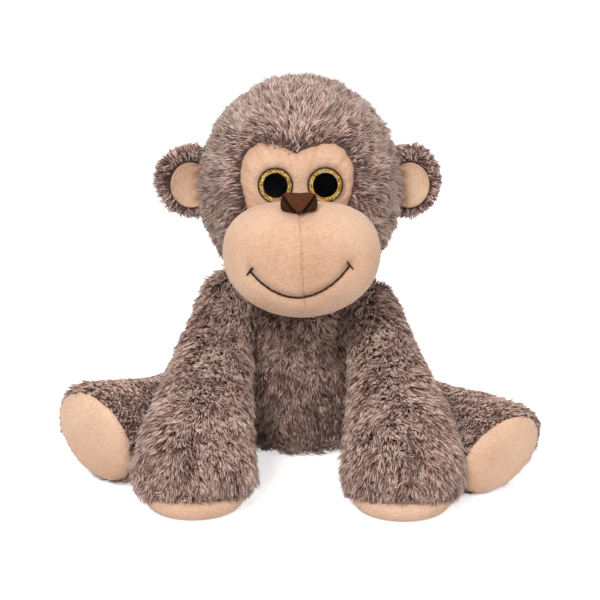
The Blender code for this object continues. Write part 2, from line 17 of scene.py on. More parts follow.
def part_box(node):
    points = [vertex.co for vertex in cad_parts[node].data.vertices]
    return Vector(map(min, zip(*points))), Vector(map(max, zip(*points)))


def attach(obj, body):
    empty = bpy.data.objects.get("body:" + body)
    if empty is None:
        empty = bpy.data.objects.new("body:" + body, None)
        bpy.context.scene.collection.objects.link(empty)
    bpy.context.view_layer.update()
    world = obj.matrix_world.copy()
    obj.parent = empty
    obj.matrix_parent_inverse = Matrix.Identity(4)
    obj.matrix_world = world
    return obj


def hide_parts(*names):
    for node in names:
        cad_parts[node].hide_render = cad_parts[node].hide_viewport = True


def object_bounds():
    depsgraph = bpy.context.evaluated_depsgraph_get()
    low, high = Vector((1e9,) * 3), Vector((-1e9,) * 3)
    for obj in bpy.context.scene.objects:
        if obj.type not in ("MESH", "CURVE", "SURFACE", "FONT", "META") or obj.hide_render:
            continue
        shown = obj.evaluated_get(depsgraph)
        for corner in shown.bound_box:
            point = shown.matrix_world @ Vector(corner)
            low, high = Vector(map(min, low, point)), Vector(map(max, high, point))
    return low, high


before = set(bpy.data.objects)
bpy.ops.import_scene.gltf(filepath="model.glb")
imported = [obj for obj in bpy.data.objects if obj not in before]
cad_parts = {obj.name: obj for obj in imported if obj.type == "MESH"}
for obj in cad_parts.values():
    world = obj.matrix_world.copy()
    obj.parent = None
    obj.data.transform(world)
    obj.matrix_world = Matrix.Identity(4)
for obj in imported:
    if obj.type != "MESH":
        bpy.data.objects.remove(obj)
CAD_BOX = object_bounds()

MM = 0.001
SIDES = {"left": 1, "right": -1}

# Cloth and stuffing
COVER = 2.2 * MM                # from the stuffing's surface to the outside of the cover
VOXEL = 4 * MM
SWELL = 3 * MM                  # the most that a simulated cover may move
PRESSURE = 4.0
SIM_FRAMES = 20

# Pile
STRANDS_PER_MM2 = 1.1
STRAND_WIDTH = 1.0 * MM
ROOT_DEPTH = 1.2 * MM           # how far a strand is set into the skin
TUFT = 8                        # strands that lean together
PILE = {"head": 10.5 * MM, "torso": 8.5 * MM, "arm": 10.5 * MM, "leg": 9 * MM, "ear": 8 * MM}
FLOOR_CLEARANCE = 0.3 * MM
EYE_SHIFT = Vector((1.0 * MM, 0, -1.4 * MM))    # how the eyes sit off their CAD nodes

PAD_OF = {"arm": "palm", "leg": "sole"}

# Pads: their size beside the CAD node's, how far they bulge and how squarely, and how each sits
PAD_SIZE = {"palm": (1.03, 1.30), "sole": (1.12, 1.22)}
PAD_CROWN = {"palm": 15 * MM, "sole": 10 * MM}
PAD_FULLNESS = {"palm": 5, "sole": 3.5}
PAD_SHIFT = {"palm_left": (-4.5 * MM, -4.5 * MM, -3.5 * MM), "palm_right": (2 * MM, -2 * MM, -3.5 * MM),
             "sole_left": (-4 * MM, -11 * MM, -2 * MM), "sole_right": (-3 * MM, -1 * MM, 0)}
BAKE_MAP = "OFBake"             # strand tone across, root to tip upwards


# ---------------------------------------------------------------- frame measures

def middle(node):
    low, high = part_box(node)
    return (low + high) / 2


def cad_points(node):
    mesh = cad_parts[node].data
    points = np.empty(len(mesh.vertices) * 3)
    mesh.vertices.foreach_get("co", points)
    return points.reshape(-1, 3)


def lookup(*nodes):
    """A search tree over CAD nodes, for distances to them."""
    points, faces = [], []
    for node in nodes:
        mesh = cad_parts[node].data
        first = len(points)
        points += [v.co.copy() for v in mesh.vertices]
        faces += [tuple(first + k for k in p.vertices) for p in mesh.polygons]
    return BVHTree.FromPolygons(points, faces)


def disc_axes(points):
    """Centre, long axis, short axis and normal of a flat cloud, the first two as half lengths."""
    centre = points.mean(axis=0)
    spread = np.linalg.svd(points - centre, full_matrices=False)[2]
    long_half = np.abs((points - centre) @ spread[0]).max()
    short_half = np.abs((points - centre) @ spread[1]).max()
    return centre, spread[0] * long_half, spread[1] * short_half, spread[2]


# ---------------------------------------------------------------- small maths

def skin_lookup(piece):
    """A search tree over a piece that has been built."""
    points, corners, _ = arrays(piece)
    return BVHTree.FromPolygons([Vector(p) for p in points], [tuple(c) for c in corners])


def unit(rows):
    return rows / np.maximum(np.linalg.norm(rows, axis=-1, keepdims=True), 1e-12)


def smooth_step(low, high, value):
    share = np.clip((value - low) / (high - low), 0, 1)
    return share * share * (3 - 2 * share)


def waves(points, size, seed):
    """A smooth random field, mostly between -1 and 1, whose blotches are about this size."""
    rng = np.random.default_rng(seed)
    total = np.zeros(len(points))
    for _ in range(10):
        direction = unit(rng.normal(size=3)) * 2 * math.pi / (size * rng.uniform(1.2, 3.0))
        total += np.sin(points @ direction + rng.uniform(0, 2 * math.pi))
    return total / 4


def distances(tree, points):
    return np.array([tree.find_nearest(Vector(p))[3] for p in points])


def depth_inside(tree, points):
    """How deep points are inside a closed surface; negative outside."""
    depths = []
    for p in points:
        place, normal, _, gap = tree.find_nearest(Vector(p))
        depths.append(gap if (Vector(p) - place).dot(normal) < 0 else -gap)
    return np.array(depths)


def reach_round(points, centre):
    """How far an outline round a centre reaches at any turn; the points go round it once."""
    across, up = points[:, 0] - centre[0], points[:, 1] - centre[1]
    turns, reaches = np.arctan2(up, across), np.hypot(across, up)
    order = np.argsort(turns)
    wrap = 2 * math.pi
    turns = np.concatenate([turns[order] + shift for shift in (-wrap, 0, wrap)])
    reaches = np.tile(reaches[order], 3)
    return lambda turn: np.interp((turn + math.pi) % wrap - math.pi, turns, reaches)


def through(keys, steps):
    """Points on a smooth Catmull-Rom curve through the key points."""
    keys = [np.array(k, float) for k in keys]
    padded = [2 * keys[0] - keys[1]] + keys + [2 * keys[-1] - keys[-2]]
    made = []
    for before, here, there, beyond in zip(padded, padded[1:], padded[2:], padded[3:]):
        for t in np.arange(steps) / steps:
            made.append(0.5 * (2 * here + (there - before) * t
                               + (2 * before - 5 * here + 4 * there - beyond) * t ** 2
                               + (3 * here - before - 3 * there + beyond) * t ** 3))
    return np.array(made + [keys[-1]])


# ---------------------------------------------------------------- meshes

def new_piece(name, points, faces, finish):
    """A smooth-shaded object from points and faces."""
    mesh = bpy.data.meshes.new(name)
    mesh.from_pydata([tuple(p) for p in points], [], [tuple(f) for f in faces])
    mesh.update()
    mesh.shade_smooth()
    made = bpy.data.objects.new(name, mesh)
    bpy.context.scene.collection.objects.link(made)
    made.data.materials.append(finish)
    return made


def mount(piece, body, slot, *nodes):
    """Fastens a piece to its body and hides the CAD nodes it stands for; slot is not used."""
    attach(piece, body)
    if nodes:
        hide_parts(*nodes)
    return piece


def tidy_normals(piece):
    """Turns the faces outwards."""
    work = bmesh.new()
    work.from_mesh(piece.data)
    bmesh.ops.recalc_face_normals(work, faces=work.faces)
    work.to_mesh(piece.data)
    work.free()
    piece.data.shade_smooth()


def bake_modifier(piece, kind, **settings):
    """Adds one modifier, and keeps what it makes as plain mesh."""
    step = piece.modifiers.new(kind, kind)
    for key, value in settings.items():
        setattr(step, key, value)
    evaluated = piece.evaluated_get(bpy.context.evaluated_depsgraph_get())
    result = bpy.data.meshes.new_from_object(evaluated)
    piece.modifiers.clear()
    piece.data = result
    result.shade_smooth()


def arrays(piece):
    """Points, triangles and point normals."""
    mesh = piece.data
    points = np.empty(len(mesh.vertices) * 3)
    mesh.vertices.foreach_get("co", points)
    points = points.reshape(-1, 3)
    mesh.calc_loop_triangles()
    corners = np.empty(len(mesh.loop_triangles) * 3, np.int32)
    mesh.loop_triangles.foreach_get("vertices", corners)
    corners = corners.reshape(-1, 3)
    a, b, c = (points[corners[:, k]] for k in range(3))
    face_normals = np.cross(b - a, c - a)
    normals = np.zeros_like(points)
    for k in range(3):
        np.add.at(normals, corners[:, k], face_normals)
    return points, corners, unit(normals)


def set_points(piece, points):
    """Moves the piece's points; none goes below the floor."""
    points[:, 2] = np.maximum(points[:, 2], FLOOR_CLEARANCE)
    piece.data.vertices.foreach_set("co", points.astype(np.float32).ravel())
    piece.data.update()


def keep_painted_shade(piece, painted_shading):
    """Keeps how much painted shade each point gets, from 0 to 1, most in folds and creases, for the finish to
    darken.
    """
    layer = piece.data.attributes.new("painted_shade", "FLOAT", "POINT")
    layer.data.foreach_set("value", np.clip(painted_shading, 0, 1).astype(np.float32))


def loop_faces(rings, sides):
    """Faces between closed rings of points."""
    faces = []
    for row in range(rings - 1):
        for k in range(sides):
            after = (k + 1) % sides
            faces.append((row * sides + k, row * sides + after,
                          (row + 1) * sides + after, (row + 1) * sides + k))
    return faces


def dome(name, rows, sides, place, finish):
    """A closed form over rings. Each row is handed to place with a turn; the two ends are poles."""
    turns = np.arange(sides) * 2 * math.pi / sides
    points = [place(row, turn) for row in rows[1:-1] for turn in turns]
    faces = loop_faces(len(rows) - 2, sides)
    last = (len(rows) - 3) * sides
    for row, first in ((rows[0], 0), (rows[-1], last)):
        points.append(place(row, 0.0))
        pole = len(points) - 1
        faces += [(first + k, first + (k + 1) % sides, pole) for k in range(sides)]
    made = new_piece(name, points, faces, finish)
    tidy_normals(made)
    return made


def cord_mesh(name, paths, radius, finish, sides=8, twist=0.0, groove=0.0):
    """Threads along paths of points, round-ended; two plies show as a groove that winds round."""
    points, faces = [], []
    for path in paths:
        path = [Vector(p) for p in path]
        first, count = len(points), len(path)
        run = 0.0
        for k, point in enumerate(path):
            ahead, behind = path[min(k + 1, count - 1)], path[max(k - 1, 0)]
            run += (point - path[max(k - 1, 0)]).length
            tangent = (ahead - behind).normalized()
            side = tangent.cross(Vector((0.21, 0.13, 0.97))).normalized()
            other = tangent.cross(side)
            end = min(k, count - 1 - k)
            full = radius * min(1.0, 0.45 + 0.4 * end)
            for s in range(sides):
                turn = 2 * math.pi * s / sides
                ply = 1 - groove * abs(math.cos(turn - run * twist)) ** 6
                points.append(point + (side * math.cos(turn) + other * math.sin(turn)) * full * ply)
        faces += [tuple(first + i for i in f) for f in loop_faces(count, sides)]
        faces.append(tuple(first + s for s in range(sides)))
        faces.append(tuple(first + (count - 1) * sides + s for s in range(sides)))
    made = new_piece(name, points, faces, finish)
    tidy_normals(made)
    return made


# ---------------------------------------------------------------- soft forms

def stuffed_hull(name, nodes, grow, voxel, finish):
    """One closed skin round CAD solids: joined, remeshed, smoothed and moved out by grow."""
    points, faces = [], []
    for node in nodes:
        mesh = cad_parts[node].data
        first = len(points)
        points += [v.co.copy() for v in mesh.vertices]
        faces += [tuple(first + k for k in p.vertices) for p in mesh.polygons]
    piece = new_piece(name, points, faces, finish)
    bake_modifier(piece, "REMESH", mode="VOXEL", voxel_size=voxel)
    bake_modifier(piece, "SMOOTH", factor=0.5, iterations=6)
    places, _, normals = arrays(piece)
    set_points(piece, places + normals * grow)
    piece.data.materials.clear()
    piece.data.materials.append(finish)
    return piece


def swell(piece, cap, pressure=PRESSURE, held=None):
    """Fills the piece like stuffed cloth; no point ends further than cap from where it was."""
    before = arrays(piece)[0]
    step = piece.modifiers.new("stuffing", "CLOTH")
    step.settings.use_pressure = True
    step.settings.uniform_pressure_force = pressure
    step.settings.effector_weights.gravity = 0
    step.settings.mass = 0.3
    step.settings.bending_stiffness = 0.6
    step.collision_settings.use_collision = False
    if held is not None:
        group = piece.vertex_groups.new(name="held")
        for k in np.nonzero(held)[0]:
            group.add([int(k)], 1.0, "REPLACE")
        step.settings.vertex_group_mass = "held"
    scene = bpy.context.scene
    for number in range(1, SIM_FRAMES + 1):
        scene.frame_set(number)
    evaluated = piece.evaluated_get(bpy.context.evaluated_depsgraph_get())
    after = np.empty(len(before) * 3)
    evaluated.data.vertices.foreach_get("co", after)
    piece.modifiers.clear()
    piece.vertex_groups.clear()
    scene.frame_set(1)
    moved = after.reshape(-1, 3) - before
    reach = np.linalg.norm(moved, axis=1, keepdims=True)
    set_points(piece, before + moved * np.minimum(1, cap / np.maximum(reach, 1e-9)))


# ---------------------------------------------------------------- pile

def scatter(points, corners, share, per_mm2, rng):
    """Evenly spread places on a skin: the triangle of each, and the weights of its corners."""
    a, b, c = (points[corners[:, k]] for k in range(3))
    area = np.linalg.norm(np.cross(b - a, c - a), axis=1) / 2
    wanted = np.cumsum(area * share[corners].mean(axis=1)) * per_mm2 / MM ** 2
    count = int(wanted[-1])
    chosen = np.searchsorted(wanted, np.arange(count) + rng.random(count))
    chosen = np.minimum(chosen, len(corners) - 1)
    root, other = np.sqrt(rng.random(count)), rng.random(count)
    weights = np.stack([1 - root, root * (1 - other), root * other], axis=1)
    return corners[chosen], weights


def carried(values, chosen, weights):
    """Values held at a skin's points, read at scattered places."""
    if values.ndim == 1:
        return (values[chosen] * weights).sum(axis=1)
    return (values[chosen] * weights[:, :, None]).sum(axis=1)


def tuft_leaders(places, rng):
    """The strand that each strand leans towards, one in every tuft."""
    heads = rng.choice(len(places), max(len(places) // TUFT, 1), replace=False)
    tree = KDTree(len(heads))
    for k, h in enumerate(heads):
        tree.insert(Vector(places[h]), k)
    tree.balance()
    return heads[[tree.find(Vector(p))[1] for p in places]]


def grow_pile(coat, skin):
    """The strands of one coat: roots, bends, tips, sideways directions and tones."""
    rng = np.random.default_rng(coat["seed"])
    points, corners, normals = arrays(skin)
    chosen, weights = scatter(points, corners, coat["cover"](points, normals), STRANDS_PER_MM2, rng)
    places = carried(points, chosen, weights)
    out = unit(carried(normals, chosen, weights))
    flow = carried(unit(coat["flow"](points)), chosen, weights)
    count = len(places)
    flow += 0.35 * np.stack([waves(places, 16 * MM, coat["seed"] + k) for k in range(3)], axis=1)
    flow += 0.34 * rng.normal(size=(count, 3))
    flow = unit(flow - out * (flow * out).sum(axis=1, keepdims=True))
    length = carried(coat["length"](points), chosen, weights) * rng.uniform(0.72, 1.12, count)
    leader = tuft_leaders(places, rng)
    length *= 1 + 0.16 * np.clip(rng.normal(size=count)[leader], -1.5, 1.5)
    stand = 1 + 0.35 * waves(places, 9 * MM, coat["seed"] + 7) + 0.25 * rng.normal(size=count)
    stand += 0.3 * rng.normal(size=count)[leader]
    stand = np.clip(stand, 0.35, 1.7)[:, None]
    stand *= coat["stand"]
    first = unit(flow * 0.62 + out * 0.78 * stand)
    second = unit(flow * 0.92 + out * 0.36 * stand)
    bends = places + first * (length * 0.45)[:, None]
    tips = bends + second * (length * 0.55)[:, None]
    tips += (tips[leader] - tips) * rng.uniform(0.15, 0.75, count)[:, None]
    roots = places - out * ROOT_DEPTH
    for spots in (roots, bends, tips):
        spots[:, 2] = np.maximum(spots[:, 2], FLOOR_CLEARANCE + STRAND_WIDTH / 2)
    tone = 0.5 + 0.13 * waves(places, 14 * MM, coat["seed"] + 11)
    tone += 0.40 * rng.normal(size=count) + 0.22 * rng.normal(size=count)[leader]
    tone += carried(coat["tone"](points), chosen, weights)
    return roots, bends, tips, unit(np.cross(flow, out)), np.clip(tone, 0.02, 0.98), rng


def strand_mesh(name, strands, finish):
    """Closed three-sided spikes, bent once. Their bake map holds tone across and root to tip."""
    roots, bends, tips, side, tone, width = strands
    count = len(roots)
    rings = []
    for centre, following, share in ((roots, bends, 1.0), (bends, tips, 0.8)):
        along = unit(following - centre)
        across = unit(side - along * (side * along).sum(axis=1, keepdims=True))
        upward = np.cross(across, along)
        half = (width * share / 2)[:, None]
        for turn in (math.radians(210), math.radians(330), math.radians(90)):
            rings.append(centre + half * (across * math.cos(turn) + upward * math.sin(turn) * 0.7))
    points = np.stack(rings + [tips], axis=1).reshape(-1, 3)
    pattern = np.array([(0, 2, 1)]
                       + [t for a, b in ((0, 1), (1, 2), (2, 0)) for t in ((a, b, b + 3), (a, b + 3, a + 3))]
                       + [(a + 3, b + 3, 6) for a, b in ((0, 1), (1, 2), (2, 0))])
    corners = (pattern[None] + 7 * np.arange(count)[:, None, None]).reshape(-1)
    mesh = bpy.data.meshes.new(name)
    mesh.vertices.add(len(points))
    mesh.vertices.foreach_set("co", points.astype(np.float32).ravel())
    mesh.loops.add(len(corners))
    mesh.loops.foreach_set("vertex_index", corners.astype(np.int32))
    mesh.polygons.add(len(corners) // 3)
    mesh.polygons.foreach_set("loop_start", np.arange(0, len(corners), 3, dtype=np.int32))
    mesh.update(calc_edges=True)
    across = tone[:, None] + 0.012 * np.array([-1, 1, 0, -1, 1, 0, 0])
    upwards = np.tile(np.array([0.0, 0, 0, 0.5, 0.5, 0.5, 1.0]), (count, 1))
    spots = np.stack([np.clip(across, 0.001, 0.999), np.clip(upwards, 0.002, 0.998)], axis=2).reshape(-1, 2)
    layer = mesh.uv_layers.new(name=BAKE_MAP)
    layer.data.foreach_set("uv", spots[corners].astype(np.float32).ravel())
    mesh.materials.append(finish)
    mesh.shade_smooth()
    made = bpy.data.objects.new(name, mesh)
    bpy.context.scene.collection.objects.link(made)
    return made


def dress(coat, skin, body, names, finish):
    """Grows a coat on a skin, as one piece for each name, shared out round the upright axis."""
    roots, bends, tips, side, tone, rng = grow_pile(coat, skin)
    width = STRAND_WIDTH * rng.uniform(0.75, 1.2, len(roots))
    centre = roots.mean(axis=0)
    turn = np.arctan2(roots[:, 0] - centre[0], roots[:, 1] - centre[1])
    order = np.argsort(turn, kind="stable") if len(names) > 1 else np.arange(len(roots))
    for name, part in zip(names, np.array_split(order, len(names))):
        strands = tuple(a[part] for a in (roots, bends, tips, side, tone, width))
        piece = strand_mesh(name, strands, finish)
        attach(piece, body)


# ---------------------------------------------------------------- materials

def nodes_of(name):
    made = bpy.data.materials.new(name)
    made.use_nodes = True
    tree = made.node_tree
    return made, tree, tree.nodes["Principled BSDF"]


def link(tree, source, target):
    tree.links.new(source, target)


def ramp(tree, value, stops):
    """A colour ramp fed by value; stops are (place, colour)."""
    node = tree.nodes.new("ShaderNodeValToRGB")
    node.color_ramp.elements[0].position = stops[0][0]
    node.color_ramp.elements[0].color = (*stops[0][1], 1)
    node.color_ramp.elements[1].position = stops[-1][0]
    node.color_ramp.elements[1].color = (*stops[-1][1], 1)
    for place, colour in stops[1:-1]:
        node.color_ramp.elements.new(place).color = (*colour, 1)
    link(tree, value, node.inputs["Fac"])
    return node.outputs["Color"]


def mixed_colour(tree, share, first, second, how="MIX"):
    node = tree.nodes.new("ShaderNodeMix")
    node.data_type = "RGBA"
    node.blend_type = how
    for key, value in (("Factor", share), ("A", first), ("B", second)):
        socket = [s for s in node.inputs if s.name == key and s.enabled][0]
        if isinstance(value, (int, float)):
            socket.default_value = value
        elif isinstance(value, tuple):
            socket.default_value = (*value, 1)
        else:
            link(tree, value, socket)
    return [s for s in node.outputs if s.enabled][0]


def calculated(tree, how, first, second):
    node = tree.nodes.new("ShaderNodeMath")
    node.operation = how
    for socket, value in zip(node.inputs, (first, second)):
        if isinstance(value, (int, float)):
            socket.default_value = value
        else:
            link(tree, value, socket)
    return node.outputs["Value"]


def noise(tree, scale, detail=3.0, stretch=(1, 1, 1), kind="Object"):
    """Noise over the piece, per metre."""
    place = tree.nodes.new("ShaderNodeTexCoord")
    mapping = tree.nodes.new("ShaderNodeMapping")
    mapping.inputs["Scale"].default_value = stretch
    node = tree.nodes.new("ShaderNodeTexNoise")
    node.inputs["Scale"].default_value = scale
    node.inputs["Detail"].default_value = detail
    link(tree, place.outputs[kind], mapping.inputs["Vector"])
    link(tree, mapping.outputs["Vector"], node.inputs["Vector"])
    return node.outputs["Fac"]


def with_painted_shade(tree, colour, shade):
    """Painted shade: the colour, multiplied by the shade colour as far as the mesh's painted shade attribute
    says.
    """
    painted_shade = tree.nodes.new("ShaderNodeAttribute")
    painted_shade.attribute_name = "painted_shade"
    return mixed_colour(tree, painted_shade.outputs["Fac"], colour, mixed_colour(tree, 1.0, colour, shade, "MULTIPLY"))


def bumped(tree, shader, height, strength, depth):
    node = tree.nodes.new("ShaderNodeBump")
    node.inputs["Strength"].default_value = strength
    node.inputs["Distance"].default_value = depth
    link(tree, height, node.inputs["Height"])
    link(tree, node.outputs["Normal"], shader.inputs["Normal"])


def sheen(shader, weight, roughness, tint):
    shader.inputs["Sheen Weight"].default_value = weight
    shader.inputs["Sheen Roughness"].default_value = roughness
    shader.inputs["Sheen Tint"].default_value = (*tint, 1)


def pile_finish():
    """Tipped pile: dark roots, brown middles and frosted ends, each strand lighter or darker."""
    made, tree, shader = nodes_of("tipped_pile")
    place = tree.nodes.new("ShaderNodeUVMap")
    place.uv_map = BAKE_MAP
    apart = tree.nodes.new("ShaderNodeSeparateXYZ")
    link(tree, place.outputs["UV"], apart.inputs["Vector"])
    tone, rise = apart.outputs["X"], apart.outputs["Y"]
    dark = ramp(tree, rise, [(0.0, (0.018, 0.006, 0.004)), (0.45, (0.085, 0.034, 0.025)),
                             (0.75, (0.185, 0.088, 0.066)), (1.0, (0.320, 0.172, 0.134))])
    light = ramp(tree, rise, [(0.0, (0.045, 0.018, 0.013)), (0.32, (0.300, 0.163, 0.124)),
                              (0.58, (0.760, 0.505, 0.405)), (1.0, (1.000, 0.900, 0.820))])
    body = mixed_colour(tree, ramp(tree, tone, [(0.15, (0, 0, 0)), (0.85, (1, 1, 1))]), dark, light)
    hue = tree.nodes.new("ShaderNodeTexNoise")
    hue.noise_dimensions = "1D"
    hue.inputs["Scale"].default_value = 90
    link(tree, tone, hue.inputs["W"])
    warmth = ramp(tree, hue.outputs["Fac"], [(0.35, (0.93, 1.0, 1.03)), (0.65, (1.10, 0.95, 0.90))])
    link(tree, mixed_colour(tree, 1.0, body, warmth, "MULTIPLY"), shader.inputs["Base Color"])
    shader.inputs["Roughness"].default_value = 0.58
    shader.inputs["Specular IOR Level"].default_value = 0.35
    sheen(shader, 0.25, 0.45, (1.0, 0.92, 0.87))
    return made


def backing_finish():
    """The knitted ground of the pile, dark under the strands."""
    made, tree, shader = nodes_of("pile_backing")
    blotches = noise(tree, 90, 4)
    colour = ramp(tree, blotches, [(0.3, (0.045, 0.022, 0.017)), (0.7, (0.120, 0.066, 0.052))])
    link(tree, colour, shader.inputs["Base Color"])
    shader.inputs["Roughness"].default_value = 0.95
    bumped(tree, shader, noise(tree, 1400, 2), 0.8, 0.6 * MM)
    return made


def velour_finish(name, light, deep, ripple_stretch):
    """Short brushed velour: soft blotches, fine fibres and ripples where the pile lies over, their dips darkened
    as painted shade, and painted shade where the mesh keeps it.
    """
    made, tree, shader = nodes_of(name)
    cloud = ramp(tree, noise(tree, 26, 3), [(0.32, deep), (0.68, light)])
    fibres = ramp(tree, noise(tree, 1500, 4), [(0.3, (0.86, 0.80, 0.76)), (0.7, (1.05, 1.03, 1.02))])
    ripples = noise(tree, 620, 3, ripple_stretch)
    # painted shade: the ripples' dips are darkened in colour as well as bumped
    painted_shading = ramp(tree, ripples, [(0.36, (0.90, 0.84, 0.79)), (0.56, (1.03, 1.02, 1.01))])
    colour = mixed_colour(tree, 0.75, cloud, fibres, "MULTIPLY")
    colour = mixed_colour(tree, 0.8, colour, painted_shading, "MULTIPLY")
    # painted shade in the creases, gathers and hollows kept on the mesh
    colour = with_painted_shade(tree, colour, (0.62, 0.44, 0.33))
    link(tree, colour, shader.inputs["Base Color"])
    rough = ramp(tree, ripples, [(0.3, (0.92, 0.92, 0.92)), (0.7, (0.78, 0.78, 0.78))])
    link(tree, rough, shader.inputs["Roughness"])
    shader.inputs["Specular IOR Level"].default_value = 0.2
    height = calculated(tree, "ADD", ripples, calculated(tree, "MULTIPLY", noise(tree, 1500, 4), 0.5))
    bumped(tree, shader, height, 0.9, 1.1 * MM)
    sheen(shader, 0.30, 0.5, (1.0, 0.90, 0.80))
    return made


def velvet_finish():
    made, tree, shader = nodes_of("nose_velvet")
    fibres = noise(tree, 1100, 4, (1, 1, 0.5))
    colour = ramp(tree, fibres, [(0.3, (0.030, 0.009, 0.004)), (0.72, (0.118, 0.038, 0.016))])
    # painted shade in the crease round the flap and over the lobes below it
    colour = with_painted_shade(tree, colour, (0.16, 0.13, 0.12))
    link(tree, colour, shader.inputs["Base Color"])
    shader.inputs["Roughness"].default_value = 0.9
    bumped(tree, shader, fibres, 0.7, 0.4 * MM)
    shader.inputs["Specular IOR Level"].default_value = 0.1
    sheen(shader, 0.12, 0.35, (0.70, 0.32, 0.18))
    return made


def thread_finish():
    made, tree, shader = nodes_of("embroidery_thread")
    fibres = noise(tree, 1800, 3, (1, 1, 0.3))
    colour = ramp(tree, fibres, [(0.3, (0.007, 0.004, 0.003)), (0.7, (0.026, 0.013, 0.010))])
    link(tree, colour, shader.inputs["Base Color"])
    shader.inputs["Roughness"].default_value = 0.6
    shader.inputs["Specular IOR Level"].default_value = 0.2
    bumped(tree, shader, fibres, 0.5, 0.2 * MM)
    return made


def glitter_finish():
    """Gold flakes under the lens: each cell has its own shade and its own tilt."""
    made, tree, shader = nodes_of("gold_flakes")
    place = tree.nodes.new("ShaderNodeTexCoord")
    cells = tree.nodes.new("ShaderNodeTexVoronoi")
    cells.inputs["Scale"].default_value = 1300
    link(tree, place.outputs["Object"], cells.inputs["Vector"])
    grey = tree.nodes.new("ShaderNodeSeparateColor")
    link(tree, cells.outputs["Color"], grey.inputs["Color"])
    colour = ramp(tree, grey.outputs["Red"], [(0.0, (0.10, 0.04, 0.004)), (0.35, (0.50, 0.24, 0.02)),
                                              (0.75, (0.92, 0.57, 0.10)), (1.0, (1.0, 0.95, 0.60))])
    link(tree, colour, shader.inputs["Base Color"])
    shader.inputs["Metallic"].default_value = 0.55
    shader.inputs["Roughness"].default_value = 0.3
    bumped(tree, shader, grey.outputs["Green"], 0.7, 0.35 * MM)
    return made


def plastic_finish(name, colour, roughness, coat=0.0):
    """Moulded plastic with a faint unevenness in its polish."""
    made, tree, shader = nodes_of(name)
    wear = noise(tree, 240, 4)
    tint = tuple(min(c * 1.35 + 0.004, 1) for c in colour)
    link(tree, ramp(tree, wear, [(0.3, colour), (0.75, tint)]), shader.inputs["Base Color"])
    grey = [(0.3, (roughness * 0.8,) * 3), (0.7, (roughness * 1.25,) * 3)]
    link(tree, ramp(tree, wear, grey), shader.inputs["Roughness"])
    shader.inputs["Coat Weight"].default_value = coat
    return made


def pupil_finish():
    """Printed black behind the lens, with the faintest blue."""
    made, tree, shader = nodes_of("printed_pupil")
    colour = ramp(tree, noise(tree, 500, 2), [(0.3, (0.0004, 0.0004, 0.0008)), (0.7, (0.001, 0.001, 0.002))])
    link(tree, colour, shader.inputs["Base Color"])
    shader.inputs["Roughness"].default_value = 0.6
    shader.inputs["Specular IOR Level"].default_value = 0.0
    return made


def lens_finish():
    made, tree, shader = nodes_of("clear_lens")
    shader.inputs["Base Color"].default_value = (1.0, 0.985, 0.95, 1)
    shader.inputs["Transmission Weight"].default_value = 1.0
    shader.inputs["IOR"].default_value = 1.06
    shader.inputs["Roughness"].default_value = 0.0
    return made


# ---------------------------------------------------------------- head

def face_outline():
    """The face panel's middle, a little to the toy's right, and how far its CAD node reaches round it."""
    points = cad_points("face_patch")
    centre = middle("face_patch")
    turns = np.arctan2(points[:, 2] - centre.z, points[:, 0] - centre.x)
    reaches = np.hypot(points[:, 0] - centre.x, points[:, 2] - centre.z)
    bins = 48
    sector = ((turns + math.pi) / (2 * math.pi) * bins).astype(int) % bins
    rim = [np.argmax(np.where(sector == k, reaches, 0)) for k in range(bins) if (sector == k).any()]
    reach = reach_round(points[rim][:, (0, 2)], (centre.x, centre.z))
    return centre - Vector((2.4 * MM, 0, 0)), lambda turn: reach(turn) + 0.8 * MM


def make_face(head_skin, finish):
    """The velour face panel: crowned, gathered at its seam and pressed in round the eyes."""
    centre, reach = face_outline()
    tree = skin_lookup(head_skin)
    crown, tuck, thick = 2.6 * MM, 1.2 * MM, 3.5 * MM
    eyes = [middle("eye_glitter_" + name) + EYE_SHIFT for name in SIDES]

    def gathers(turn):
        return 0.8 * math.sin(turn * 19 + 1.7 * math.sin(turn * 3)) + 0.7 * math.sin(turn * 43)

    def place(row, turn):
        share, front = row
        out = reach(turn) * share
        x, z = centre.x + out * math.cos(turn), centre.z + out * math.sin(turn)
        hit, normal = tree.ray_cast(Vector((x, -0.5, z)), Vector((0, 1, 0)))[:2]
        if not front:
            return hit - normal * thick
        rise = crown * (1 - share ** 5) - tuck * share ** 12 + 0.5 * MM
        rise += 1.0 * MM * gathers(turn) * share ** 3 * (1 - share ** 7)
        for eye in eyes:
            gap = math.hypot(x - eye.x, z - eye.z)
            outer = smooth_step(0, 12 * MM, (x - eye.x) * (1 if eye.x > 0 else -1))
            rise -= 1.9 * MM * math.exp(-(gap / (15 * MM)) ** 4)
            rise += 1.6 * MM * outer * math.exp(-((gap - 16 * MM) / (4 * MM)) ** 2)
        return hit + normal * rise

    # Painted shade: a little over the whole recessed panel, more in the dips of the gathers, at its tucked seam
    # and in the hollows round the eyes.
    def painted_shade(point):
        across, up = point.x - centre.x, point.z - centre.z
        turn = math.atan2(up, across)
        share = math.hypot(across, up) / reach(turn)
        gaps = [math.hypot(point.x - eye.x, point.z - eye.z) for eye in eyes]
        near_eye = sum(math.exp(-(gap / (13.2 * MM)) ** 12) for gap in gaps)
        gathered = max(-gathers(turn), 0) ** 2 * smooth_step(0.55, 0.9, share) * 0.14
        return 0.16 + gathered + 0.55 * share ** 14 + 0.5 * near_eye

    shares = np.linspace(0, 1, 40)[1:]
    rows = [(0.0, True)] + [(s, True) for s in shares] + [(s, False) for s in (0.97, 0.7, 0.35)] + [(0.0, False)]
    panel = dome("face_panel", rows, 180, place, finish)
    keep_painted_shade(panel, np.array([painted_shade(v.co) for v in panel.data.vertices]))
    return mount(panel, "head", "peach_velour", "face_patch")


